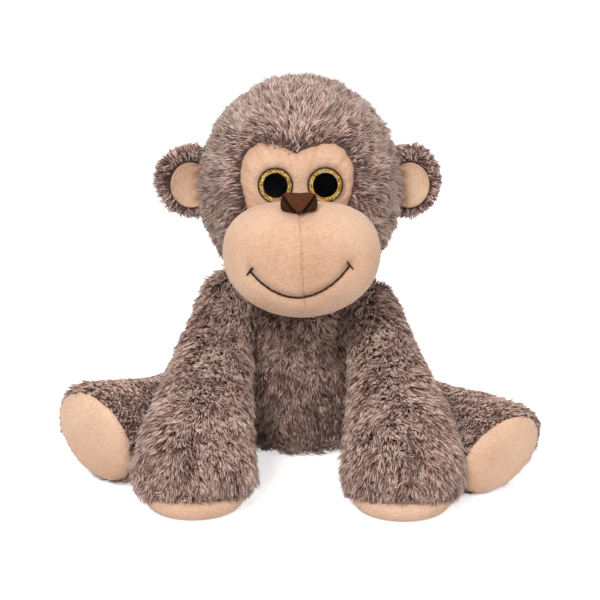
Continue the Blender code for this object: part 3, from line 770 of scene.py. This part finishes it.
def muzzle_outline(turn, half_wide, half_high):
    """A full-cheeked oval: squarer above its widest line, round below it."""
    power = 2.6 if math.sin(turn) > 0 else 2.0
    high = half_high * (0.89 if math.sin(turn) > 0 else 1.06)
    c, s = abs(math.cos(turn)), abs(math.sin(turn))
    return 1 / ((c / half_wide) ** power + (s / high) ** power) ** (1 / power)


def make_muzzle(finish):
    """The stuffed muzzle, with its centre seam and the crease that the smile pulls."""
    low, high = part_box("muzzle_cover")
    half = (high - low) / 2
    centre = middle("muzzle_cover")
    centre.z += half.z * 0.165
    front, back = low.y, high.y
    deep = 35 * MM
    start = -2.2 * MM

    def place(row, turn):
        y, share = row
        out = muzzle_outline(turn, half.x - start, half.z) * share
        drop = 3 * MM * smooth_step(0, 1, (y - front) / deep)
        return Vector((centre.x + 1.2 * MM + out * math.cos(turn), y, centre.z - drop + out * math.sin(turn)))

    rows = [(front, 0.0)]
    for k in range(1, 12):
        lean = math.radians(90 * k / 12)
        rows.append((front + deep * (1 - math.cos(lean)), math.sin(lean) ** 0.94))
    for k in range(12):
        lean = math.radians(90 * k / 12)
        rows.append((front + deep + (back - front - deep) * math.sin(lean), math.cos(lean) ** 0.45))
    rows.append((back, 0.0))
    muzzle = dome("muzzle", rows, 40, place, finish)
    bake_modifier(muzzle, "REMESH", mode="VOXEL", voxel_size=VOXEL)
    points = arrays(muzzle)[0]
    swell(muzzle, 3.5 * MM, held=points[:, 1] > front + deep + 10 * MM)
    bake_modifier(muzzle, "SMOOTH", factor=0.5, iterations=3)
    bake_modifier(muzzle, "SUBSURF", levels=2, render_levels=2)
    press_seams(muzzle)
    muzzle.data.materials.clear()
    muzzle.data.materials.append(finish)
    return mount(muzzle, "head", "peach_velour", "muzzle_cover", "muzzle_stuffing")


def smile_height(x):
    """The smile's height on the face at a place across it, from the CAD thread."""
    low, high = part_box("mouth_stitching")
    half_wide = (high.x - low.x) / 2
    tilt = 2.4 * MM * x / half_wide
    return low.z + (high.z - low.z) * (x / half_wide) ** 2 + tilt


def press_seams(muzzle):
    """Presses the centre seam and the smile's crease into the muzzle's front."""
    points, _, normals = arrays(muzzle)
    facing = smooth_step(0.1, 0.5, -normals[:, 1])
    seam_width, seam_depth = 0.75 * MM, 1.0 * MM
    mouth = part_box("mouth_stitching")
    half_wide = (mouth[1].x - mouth[0].x) / 2
    below_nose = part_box("nose")[0].z - points[:, 2]
    seam_x = -0.5 * MM + 0.065 * below_nose + 0.5 * MM * np.sin(below_nose / (9 * MM))
    seam = np.exp(-((points[:, 0] - seam_x) / seam_width) ** 2)
    seam *= smooth_step(mouth[0].z - 14 * MM, mouth[0].z - 4 * MM, points[:, 2])
    reach = np.clip(points[:, 0], -half_wide, half_wide)
    slope = 2 * (mouth[1].z - mouth[0].z) * reach / half_wide ** 2
    aside = (points[:, 2] - smile_height(reach)) / np.sqrt(1 + slope ** 2)
    beyond = np.maximum(np.abs(points[:, 0]) - half_wide, 0)
    gap = np.hypot(aside, beyond)
    crease = np.exp(-(gap / (3.0 * MM)) ** 2) * 1.9 * MM
    lip = np.exp(-((aside + 9 * MM) / (7 * MM)) ** 2) * np.exp(-(reach / (26 * MM)) ** 2) * 1.2 * MM
    dimples = np.zeros(len(points))
    for side in SIDES.values():
        corner = np.hypot(points[:, 0] - side * half_wide, points[:, 2] - smile_height(side * half_wide))
        dimples += np.exp(-(corner / (7 * MM)) ** 2) * 2.0 * MM
    middling = np.exp(-((points[:, 0] / (34 * MM)) ** 4 + ((points[:, 2] - mouth[1].z) / (30 * MM)) ** 4))
    brushed = waves(points * (1, 1, 2.4), 3.4 * MM, 5) * middling * 0.28 * MM
    dent = (seam * seam_depth + crease + dimples - lip + brushed) * facing
    set_points(muzzle, points - normals * dent[:, None])
    # Painted shade in the centre seam, the smile's crease and its dimples, and below the mouth on the chin;
    # middling also darkens the brushed middle of the front.
    front_painted_shade = 0.34 * seam + 0.22 * crease / (1.9 * MM) + 0.14 * dimples / (2 * MM) + 0.36 * middling
    under = smooth_step(mouth[0].z - 12 * MM, mouth[0].z - 34 * MM, points[:, 2])
    keep_painted_shade(muzzle, front_painted_shade * facing + 0.3 * under)


def make_smile(muzzle, finish):
    """The smile: backstitches over the muzzle, and a short stitch across each end."""
    tree = skin_lookup(muzzle)
    low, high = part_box("mouth_stitching")
    half_wide = (high.x - low.x) / 2
    thread = 0.85 * MM

    def on_muzzle(x, z, lift):
        hit, normal = tree.ray_cast(Vector((x, -0.5, z)), Vector((0, 1, 0)))[:2]
        return hit + normal * lift

    paths = []
    stitches = 19
    for k in range(stitches):
        ends = [-1 + 2 * (k + shift) / stitches for shift in (-0.06, 1.06)]
        path = []
        for s in np.linspace(0, 1, 9):
            x = (ends[0] + (ends[1] - ends[0]) * s) * half_wide
            sink = 0.55 * MM * (2 * s - 1) ** 8
            path.append(on_muzzle(x, smile_height(x), thread * 0.55 - sink))
        paths.append(path)
    for side in SIDES.values():
        path = []
        for s in np.linspace(-1, 1, 7):
            x = side * (half_wide + 2.6 * MM * s)
            z = smile_height(side * half_wide) - 3.4 * MM * s
            path.append(on_muzzle(x, z, thread * 0.8 - 0.5 * MM * s ** 6))
        paths.append(path)
    smile = cord_mesh("smile_stitches", paths, thread, finish, sides=8, twist=2200, groove=0.35)
    return mount(smile, "head", "dark_thread", "mouth_stitching")


def make_nose(finish):
    """The velvet nose, set into the muzzle: a flap with its point down, over a lobe at each side."""
    low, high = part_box("nose")
    wide, tall = (high.x - low.x) / 2, (high.z - low.z) * 0.93
    top = high.z + 2.6 * MM
    front, deep, back = low.y - 0.5 * MM, 9 * MM, 25 * MM
    half = through([(0, 0.03), (0.58, 0.0), (0.86, 0.08), (0.98, 0.27), (1.0, 0.58), (0.89, 0.77), (0.42, 0.87),
                    (0, 1.0)], 8)
    shift = -0.8 * MM
    outline = np.concatenate([half, half[-2:0:-1] * (-1, 1)]) * (wide, -tall) + (shift, top)
    centre = (shift, top - 0.46 * tall)
    reach = reach_round(outline, centre)
    crease = 0.8 * MM

    def inside_flap(x, z):
        drop = max((top - z) / tall, 0)
        return (0.98 * (1 - drop / 0.95) - abs(x - shift) / wide) * wide * 0.7

    def place(row, turn):
        y, share = row
        out = reach(turn) * share
        x, z = centre[0] + out * math.cos(turn), centre[1] + out * math.sin(turn)
        inside = inside_flap(x, z)
        on_front = 1 - smooth_step(front + deep * 0.65, front + deep * 1.2, y)
        lift = 2.4 * MM * smooth_step(-crease, crease, inside)
        lift -= 1.6 * MM * math.exp(-((inside + crease) / crease) ** 2)
        lean = 3 * MM + 0.5 * (z - top + tall)
        drop = 10 * MM * smooth_step(front + 0.4 * deep, front + back, y)
        return Vector((x, y + lean - lift * on_front, z - drop))

    # Painted shade in the crease round the flap and over the lobes below it.
    def painted_shade(point):
        inside = inside_flap(point.x, point.z)
        creased = math.exp(-((inside + 0.7 * crease) / crease) ** 2)
        return creased + 0.6 * smooth_step(0.5 * MM, -0.8 * MM, inside)

    rows = [(front, 0.0)]
    for k in range(1, 30):
        lean = math.radians(90 * k / 30)
        rows.append((front + deep * (1 - math.cos(lean)) ** 1.3, math.sin(lean)))
    rows += [(front + deep + k * 3.4 * MM, 1 - 0.07 * k) for k in range(6)] + [(front + back, 0.0)]
    nose = dome("nose_velvet", rows, 144, place, finish)
    keep_painted_shade(nose, np.array([painted_shade(v.co) for v in nose.data.vertices]))
    return mount(nose, "head", "brown_velvet", "nose")


def turned(name, profile, centre, spin, sides, finish):
    """A turned form. The profile is (height, radius) rows, both ends on the axis."""
    def place(row, turn):
        height, radius = row
        return centre + spin @ Vector((radius * math.cos(turn), radius * math.sin(turn), height))
    return dome(name, profile, sides, place, finish)


def make_eye(name, finish):
    """A safety eye: black cup, flake disc with its pupil, and the clear lens over them."""
    disc = cad_points("eye_glitter_" + name)
    centre, _, _, normal = disc_axes(disc)
    normal *= -np.sign(normal[1])
    looking = Vector(unit(normal + np.array((0, -1.6, 0))))
    spin = looking.to_track_quat("Z", "Y").to_matrix()
    lens_radius = np.linalg.norm(disc - centre, axis=1).max()
    centre = Vector(centre) - looking * 1.0 * MM + EYE_SHIFT
    rim = lens_radius + 0.2 * MM
    cup = [(-13 * MM, 0.0), (-13 * MM, 2.4 * MM), (-2 * MM, 2.4 * MM), (-2 * MM, rim - 0.6 * MM),
           (-1.4 * MM, rim)]
    for k in range(1, 8):
        lean = math.radians(180 * k / 8)
        cup.append((1.4 * MM + 0.5 * MM * math.sin(lean), rim - 0.55 * MM + 0.55 * MM * math.cos(lean)))
    cup += [(0.9 * MM, rim - 1.1 * MM), (-0.8 * MM, lens_radius), (-0.8 * MM, 0.0)]
    pupil = 0.69 * rim
    flakes = [(-0.4 * MM, 0.0), (-0.4 * MM, lens_radius), (0.3 * MM, lens_radius),
              (0.45 * MM, lens_radius * 0.85), (0.55 * MM, pupil * 0.9), (0.55 * MM, 0.0)]
    black = [(0.3 * MM, 0.0), (0.3 * MM, pupil - 0.3 * MM), (0.62 * MM, pupil), (0.8 * MM, pupil - 0.3 * MM),
             (0.8 * MM, 0.0)]
    lens = [(1.0 * MM, 0.0), (1.0 * MM, lens_radius - 0.15 * MM), (1.6 * MM, lens_radius - 0.05 * MM)]
    for k in range(1, 14):
        lean = math.radians(90 * k / 14)
        lens.append((1.6 * MM + 4.6 * MM * math.sin(lean), (lens_radius - 0.05 * MM) * math.cos(lean)))
    lens.append((6.2 * MM, 0.0))
    parts = (("rim", cup, "black", "black_plastic", "eye_stem_"),
             ("flakes", flakes, "glitter", "gold_glitter", "eye_glitter_"),
             ("pupil", black, "pupil", "black_plastic", None),
             ("lens", lens, "lens", "clear_dome", "eye_dome_"))
    for kind, profile, surface, slot, node in parts:
        piece = turned(f"eye_{kind}_{name}", profile, centre, spin, 64, finish[surface])
        mount(piece, "head", slot, *([node + name] if node else []))


# ---------------------------------------------------------------- ears, pads

def ear_lining_form(name, side):
    """The lining's middle and half sizes, and how far back its cupped front is at a place on it."""
    low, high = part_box("ear_lining_" + name)
    inner, outer = (low.x, high.x) if side > 0 else (high.x, low.x)
    centre = Vector((inner + (outer - inner) * 0.36, low.y - 1.4 * MM, (low.z + high.z) / 2 - 3.4 * MM))
    half = Vector((abs(outer - inner) * 0.55, 0, (high.z - low.z) / 2 * 0.90))

    def front(x, z):
        across = (x - centre.x) * side / half.x
        share = min(math.hypot(across, (z - centre.z) / half.z), 1.0)
        near = smooth_step(0.3, -0.8, across)
        pleat = 0.8 * MM * math.cos(z / (1.6 * MM)) * near
        return centre.y + 4.2 * MM * (1 - share ** 2.2) + (2.6 * MM * near + pleat) * (1 - share ** 6)

    return centre, half, front


def make_ear_lining(name, side, skin, finish):
    """The cupped velour lining, gathered where it meets the head, and the hollow for it in the ear."""
    centre, half, front = ear_lining_form(name, side)
    thick = 1.6 * MM

    def place(row, turn):
        share, forward = row
        x = centre.x + side * half.x * share * math.cos(turn)
        z = centre.z + half.z * share * math.sin(turn)
        return Vector((x, front(x, z) + (0 if forward else thick), z))

    shares = np.linspace(0, 1, 16)[1:]
    rows = [(0.0, True)] + [(s, True) for s in shares] + [(s, False) for s in shares[::-1]] + [(0.0, False)]
    lining = dome("ear_inner_" + name, rows, 72, place, finish)
    spots = arrays(lining)[0]
    # Painted shade in the pleats where the lining gathers towards the head, and round its rim under the fur.
    toward_head = smooth_step(0.15, -0.35, (spots[:, 0] - centre.x) * side / half.x)
    pleats = 0.6 - 0.4 * np.cos(spots[:, 2] / (1.6 * MM))
    edge = np.hypot((spots[:, 0] - centre.x) / half.x, (spots[:, 2] - centre.z) / half.z)
    keep_painted_shade(lining, toward_head * pleats + 0.4 * edge ** 10)
    points, _, normals = arrays(skin)
    for k in np.nonzero(normals[:, 1] < 0.1)[0]:
        x, y, z = points[k]
        if math.hypot((x - centre.x) / half.x, (z - centre.z) / half.z) < 1.02:
            points[k, 1] = max(y, front(x, z) + thick * 0.6)
    set_points(skin, points)
    return mount(lining, "ear_" + name, "peach_velour", "ear_lining_" + name)


def make_pad(kind, name, body, finish):
    """An oval velour pad: crowned, its rim turned in under the pile."""
    node = f"{kind}_pad_{name}"
    points = cad_points(node)
    centre, long_half, short_half, normal = disc_axes(points)
    limb = np.array(middle(body.replace("arm", "arm_stuffing").replace("leg", "leg_stuffing")))
    if normal @ (centre - limb) < 0:
        normal = -normal
    centre = centre + np.array(PAD_SHIFT[f"{kind}_{name}"])
    crown, fullness, under = PAD_CROWN[kind], PAD_FULLNESS[kind], 5 * MM
    long_half, short_half = long_half * PAD_SIZE[kind][0], short_half * PAD_SIZE[kind][1]
    if kind == "palm":
        short_half[2] *= 0.35

    def place(row, turn):
        share, front = row
        flat = centre + (long_half * math.cos(turn) + short_half * math.sin(turn)) * share
        rise = crown * (1 - share ** fullness) ** 0.6 if front else -under * (1 - share ** 4)
        rise -= COVER
        return Vector(flat + normal * rise)

    shares = np.sin(np.linspace(0, math.pi / 2, 14))[1:]
    rows = [(0.0, True)] + [(s, True) for s in shares] + [(s, False) for s in shares[-2::-4]] + [(0.0, False)]
    pad = dome(f"{kind}_{name}", rows, 56, place, finish)
    bake_modifier(pad, "REMESH", mode="VOXEL", voxel_size=3 * MM)
    spots = arrays(pad)[0]
    swell(pad, 2.5 * MM, held=((spots - centre) @ normal) < -2.5 * MM)
    bake_modifier(pad, "SMOOTH", factor=0.5, iterations=3)
    bake_modifier(pad, "SUBSURF", levels=1, render_levels=1)
    set_points(pad, arrays(pad)[0])
    pad.data.materials.clear()
    pad.data.materials.append(finish)
    return mount(pad, body, "peach_velour", node)


# ---------------------------------------------------------------- coats

def bare_near(trees, points, low, high):
    """From 0 on the bare pieces to 1 where the pile is full."""
    gap = np.min([distances(tree, points) for tree in trees], axis=0)
    return smooth_step(low, high, gap)


def head_coat(skin):
    face, muzzle = lookup("face_patch"), lookup("muzzle_cover")
    centre, reach = face_outline()
    spring = np.array(middle("nose")) + np.array((0, 0, 8 * MM))
    low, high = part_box("head_cover")
    parting = np.array((0, middle("head_cover").y - 28 * MM, high.z - 4 * MM))

    def cover(points, normals):
        share = bare_near((muzzle,), points, 0.8 * MM, 1.8 * MM)
        x, z = points[:, 0] - centre.x, points[:, 2] - centre.z
        rim = np.hypot(x, z) - reach(np.arctan2(z, x))
        share *= np.where(points[:, 1] < centre.y + 20 * MM, smooth_step(-0.6 * MM, 0.6 * MM, rim), 1.0)
        on_face = (rim < -1.5 * MM) & (points[:, 1] < centre.y + 20 * MM)
        neck = np.hypot(points[:, 0], points[:, 1]) < 24 * MM
        share[on_face | (neck & (points[:, 2] < low.z + 20 * MM))] = 0
        return share

    def flow(points):
        away = points - spring
        back = smooth_step(-0.01, 0.05, points[:, 1])[:, None]
        falling = np.array((0, 0, -0.4))
        return (unit(away) + falling) * (1 - back) + np.array((0, 0.15, -1.0)) * back

    def length(points):
        near = np.minimum(distances(face, points), distances(muzzle, points))
        return PILE["head"] * (0.55 + 0.45 * smooth_step(0, 14 * MM, near))

    def tone(points):
        near = np.minimum(distances(face, points), distances(muzzle, points))
        crown = np.linalg.norm(points - parting, axis=1)
        shade = 0.32 * np.exp(-(near / (6 * MM)) ** 2) + 0.5 * np.exp(-(crown / (5 * MM)) ** 2)
        return 0.07 * smooth_step(high.z - 90 * MM, high.z, points[:, 2]) + 0.02 - shade

    return {"seed": 11, "cover": cover, "flow": flow, "length": length, "tone": tone, "stand": 1.05}


def torso_coat(neighbours):
    low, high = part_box("torso_cover")

    def cover(points, normals):
        share = np.ones(len(points))
        for skin in neighbours:
            share *= smooth_step(1.5 * MM, 0, depth_inside(skin, points))
        share[(normals[:, 2] < -0.75) & (points[:, 2] < low.z + 4 * MM)] = 0
        return share

    def flow(points):
        out = points - np.array((0, 0, 0.5 * (low.z + high.z)))
        out[:, 2] = 0
        hem = smooth_step(22 * MM, 4 * MM, points[:, 2])[:, None]
        return unit(out) * (0.2 + 1.8 * hem) + np.array((0, 0, -1.0))

    def length(points):
        return PILE["torso"] * (1 + 0.6 * smooth_step(16 * MM, 4 * MM, points[:, 2]))

    # Painted shade: the torso's pile darkens from its top towards its bottom.
    def tone(points):
        return -0.10 + 0.12 * smooth_step(low.z, high.z, points[:, 2])

    return {"seed": 23, "cover": cover, "flow": flow, "length": length, "tone": tone, "stand": 0.8}


def make_limb(body, kind, pad, name, finish):
    """A stuffed arm or leg, and the velour pad on its end."""
    stuffing, cover = f"{kind}_stuffing_{name}", f"{kind}_cover_{name}"
    skin = stuffed_hull(body + "_skin", [stuffing], COVER, VOXEL, finish["backing"])
    swell(skin, SWELL)
    follow_pad(skin, pad, name)
    if body == "arm_right":
        shrug(skin)
    mount(skin, body, "brown_fur", cover, stuffing)
    return skin, make_pad(pad, name, body, finish["peach"])


def limb_coat(kind, pad_kind, name, side, torso, pad):
    shoulder, pad_middle = limb_line(kind, pad_kind, name)
    low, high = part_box(f"{kind}_cover_{name}")
    line = pad_middle - shoulder
    gathered = dart(kind, name, side)

    def cover(points, normals):
        share = smooth_step(0.6 * MM, -0.4 * MM, depth_inside(pad, points))
        share *= 1 - 0.3 * smooth_step(-0.2, -0.7, normals[:, 2])
        return share * smooth_step(1.5 * MM, 0, depth_inside(torso, points))

    def flow(points):
        run = unit(line)
        away = points - gathered
        aside = away - np.outer(away @ run, run)
        along = (points - shoulder) @ line / (line @ line)
        return run + aside / (60 * MM) * smooth_step(0.45, 0.9, along)[:, None]

    def length(points):
        near = distances(pad, points)
        root = np.linalg.norm(points - shoulder, axis=1)
        fringe = np.exp(-(near / (11 * MM)) ** 2)
        full = 1 + 0.3 * np.exp(-(root / (35 * MM)) ** 2) - (0 if kind == "arm" else 0.2) * fringe
        if kind == "leg":
            shin = smooth_step(165 * MM, 140 * MM, np.abs(points[:, 0]))
            full *= 1 - 0.4 * shin * smooth_step(0.55 * high.z, 0.8 * high.z, points[:, 2])
        return PILE[kind] * full

    # Painted shade: strands much darker in the crack where the dart gathers the pile, and a little darker next to
    # the pad.
    def tone(points):
        near = (points - gathered) / np.array((3.2 * MM, 14 * MM, 11 * MM))
        edge = np.exp(-(distances(pad, points) / (6 * MM)) ** 2)
        return 0.03 - 0.8 * np.exp(-(near ** 2).sum(axis=1)) - 0.10 * edge

    seed = (100 if kind == "arm" else 110) + side
    return {"seed": seed, "cover": cover, "flow": flow, "length": length, "tone": tone, "stand": 1.0}


def follow_pad(skin, kind, name):
    """Moves the end of a limb with its pad."""
    points = arrays(skin)[0]
    gap = np.linalg.norm(points - np.array(middle(f"{kind}_pad_{name}")), axis=1)
    share = smooth_step(70 * MM, 25 * MM, gap)[:, None]
    set_points(skin, points + share * np.array(PAD_SHIFT[f"{kind}_{name}"]))


def shrug(skin):
    """Lifts the toy's right shoulder, which it holds higher, up against the head."""
    points = arrays(skin)[0]
    top = points[np.argmax(points[:, 2])]
    gap = np.linalg.norm((points - top) / (30 * MM, 30 * MM, 24 * MM), axis=1)
    lift = np.exp(-gap ** 2)[:, None] * np.array((-1 * MM, 0, 10 * MM))
    halfway = np.exp(-((points[:, 2] - 88 * MM) / (26 * MM)) ** 2) * smooth_step(-50 * MM, -72 * MM, points[:, 0])
    fuller = halfway[:, None] * np.array((-4 * MM, 0, 0))
    set_points(skin, points + lift + fuller)


def limb_line(kind, pad_kind, name):
    """From the joint end of a limb to the middle of its pad."""
    points = cad_points(f"{kind}_stuffing_{name}")
    pad_middle = np.array(middle(f"{pad_kind}_pad_{name}"))
    far = np.linalg.norm(points - pad_middle, axis=1)
    return points[np.argsort(far)[-12:]].mean(axis=0), pad_middle


def dart(kind, name, side):
    """Where the wrist's dart gathers the pile, on top of the limb; a leg's is over its heel."""
    low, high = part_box(f"{kind}_cover_{name}")
    if kind == "arm":
        return np.array(((low.x + high.x) / 2 + side * 2 * MM, low.y + 9 * MM, low.z + 42 * MM))
    return np.array(((low.x + high.x) / 2 - side * 10 * MM, (low.y + high.y) / 2, high.z - 4 * MM))


def ear_coat(name, side, seed):
    centre = middle("ear_back_" + name)
    low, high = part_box("ear_back_" + name)
    head = lookup("head_stuffing")
    inner, half, _ = ear_lining_form(name, side)

    def cover(points, normals):
        share = np.hypot((points[:, 0] - inner.x) / half.x, (points[:, 2] - inner.z) / half.z)
        outside = np.where(normals[:, 1] < 0.2, smooth_step(0.98, 1.06, share), 1.0)
        return outside * smooth_step(2.0 * MM, 4.0 * MM, distances(head, points))

    def flow(points):
        out = points - np.array(centre)
        out[:, 1] = 0
        out[:, 0] += side * 4 * MM
        return unit(out) + np.array((0, -0.25, 0))

    def length(points):
        outward = smooth_step(0, 18 * MM, (points[:, 0] - centre.x) * side)
        return PILE["ear"] * (1 - 0.35 * side * outward)

    def tone(points):
        return -0.02 - 0.12 * (points[:, 1] < low.y + 3 * MM)

    return {"seed": seed, "cover": cover, "flow": flow, "length": length, "tone": tone, "stand": 0.7}


# ---------------------------------------------------------------- stage

def make_stage():
    """A plain pale floor and soft studio light."""
    reach = 12.0
    made, tree, shader = nodes_of("pale_floor")
    tint = ramp(tree, noise(tree, 3, 2), [(0.3, (0.90, 0.90, 0.90)), (0.7, (0.93, 0.93, 0.93))])
    link(tree, tint, shader.inputs["Base Color"])
    shader.inputs["Roughness"].default_value = 0.9
    seen = tree.nodes.new("ShaderNodeLightPath")
    glow = calculated(tree, "MULTIPLY", seen.outputs["Is Camera Ray"], 0.60)
    shader.inputs["Emission Color"].default_value = (1, 1, 1, 1)
    link(tree, glow, shader.inputs["Emission Strength"])
    corners = [(-reach, -reach, 0), (reach, -reach, 0), (reach, reach, 0), (-reach, reach, 0)]
    floor = new_piece("floor", corners, [(0, 1, 2, 3)], made)
    world = bpy.data.worlds.new("studio")
    world.use_nodes = True
    world.node_tree.nodes["Background"].inputs["Color"].default_value = (1.0, 0.995, 0.985, 1)
    seen = world.node_tree.nodes.new("ShaderNodeLightPath")
    backdrop = calculated(world.node_tree, "MULTIPLY", seen.outputs["Is Camera Ray"], 0.58)
    strength = calculated(world.node_tree, "ADD", backdrop, 0.42)
    link(world.node_tree, strength, world.node_tree.nodes["Background"].inputs["Strength"])
    bpy.context.scene.world = world
    target = (CAD_BOX[0] + CAD_BOX[1]) / 2
    lamps = (("key", (-0.6, -1.5, 1.5), 0.6, 31), ("fill", (1.2, -1.2, 1.0), 0.8, 9),
             ("top", (0.1, 0.2, 1.9), 1.0, 11), ("back", (0.5, 1.7, 1.1), 1.0, 8))
    for name, place, size, power in lamps:
        data = bpy.data.lights.new(name, "AREA")
        data.size = size
        data.energy = power
        lamp = bpy.data.objects.new(name, data)
        lamp.location = place
        lamp.rotation_euler = (target - Vector(place)).to_track_quat("-Z", "Y").to_euler()
        bpy.context.scene.collection.objects.link(lamp)


def make_camera():
    """The photographer's view: from a little above, far enough off for a long lens."""
    elevation, distance, lens = math.radians(15), 1.4, 105
    target = Vector((0, 0, 0.1125))
    data = bpy.data.cameras.new("camera")
    data.lens = lens
    camera = bpy.data.objects.new("camera", data)
    camera.location = target + Vector((0, -math.cos(elevation), math.sin(elevation))) * distance
    camera.rotation_euler = (target - camera.location).to_track_quat("-Z", "Y").to_euler()
    bpy.context.scene.collection.objects.link(camera)
    bpy.context.scene.camera = camera
    bpy.context.scene.view_settings.view_transform = "Standard"


# ---------------------------------------------------------------- assembly

def main():
    peach = velour_finish("peach_velour", (0.700, 0.490, 0.360), (0.620, 0.405, 0.285), (0.6, 0.8, 1.3))
    finish = {
        "pile": pile_finish(),
        "backing": backing_finish(),
        "peach": peach,
        # painted light: a lighter copy of the peach velour, making up for the shade the lining sits in inside the
        # ear
        "lining": velour_finish("ear_velour_painted_light", (0.76, 0.54, 0.39), (0.65, 0.44, 0.31), (2.2, 1.0, 0.35)),
        "velvet": velvet_finish(),
        "thread": thread_finish(),
        "glitter": glitter_finish(),
        "black": plastic_finish("black_plastic", (0.006, 0.005, 0.005), 0.16),
        "pupil": pupil_finish(),
        "washer": plastic_finish("white_plastic", (0.75, 0.75, 0.72), 0.45),
        "lens": lens_finish(),
    }
    for node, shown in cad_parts.items():
        if "seam" in node:
            shown.data.materials[0] = finish["thread"]
        if "washer" in node:
            shown.data.materials[0] = finish["washer"]

    head = stuffed_hull("head_skin", ["head_stuffing"], COVER, VOXEL, finish["backing"])
    swell(head, SWELL)
    mount(head, "head", "brown_fur", "head_cover", "head_stuffing")
    make_face(head, finish["peach"])
    muzzle = make_muzzle(finish["peach"])
    make_smile(muzzle, finish["thread"])
    make_nose(finish["velvet"])
    quarters = ["head_fur_front_right", "head_fur_back_right", "head_fur_back_left", "head_fur_front_left"]
    dress(head_coat(head), head, "head", quarters, finish["pile"])

    torso = stuffed_hull("torso_skin", ["torso_stuffing"], COVER, VOXEL, finish["backing"])
    swell(torso, SWELL)
    mount(torso, "torso", "brown_fur", "torso_cover", "torso_stuffing")
    limbs = {}
    for name, side in SIDES.items():
        make_eye(name, finish)
        for kind, pad in PAD_OF.items():
            body = f"{kind}_{name}"
            limbs[body], velour = make_limb(body, kind, pad, name, finish)
            halves = [f"{body}_fur_inner", f"{body}_fur_outer"][::side]
            coat = limb_coat(kind, pad, name, side, skin_lookup(torso), skin_lookup(velour))
            dress(coat, limbs[body], body, halves, finish["pile"])
        ear = stuffed_hull(f"ear_{name}_skin", ["ear_back_" + name], 0.4 * MM, 2 * MM, finish["backing"])
        mount(ear, "ear_" + name, "brown_fur", "ear_back_" + name)
        make_ear_lining(name, side, ear, finish["lining"])
        dress(ear_coat(name, side, 200 + side), ear, "ear_" + name, [f"ear_{name}_fur"], finish["pile"])
    neighbours = [skin_lookup(piece) for piece in [head, *limbs.values()]]
    thirds = ["torso_fur_right", "torso_fur_back", "torso_fur_left"]
    dress(torso_coat(neighbours), torso, "torso", thirds, finish["pile"])

    make_stage()
    make_camera()


main()
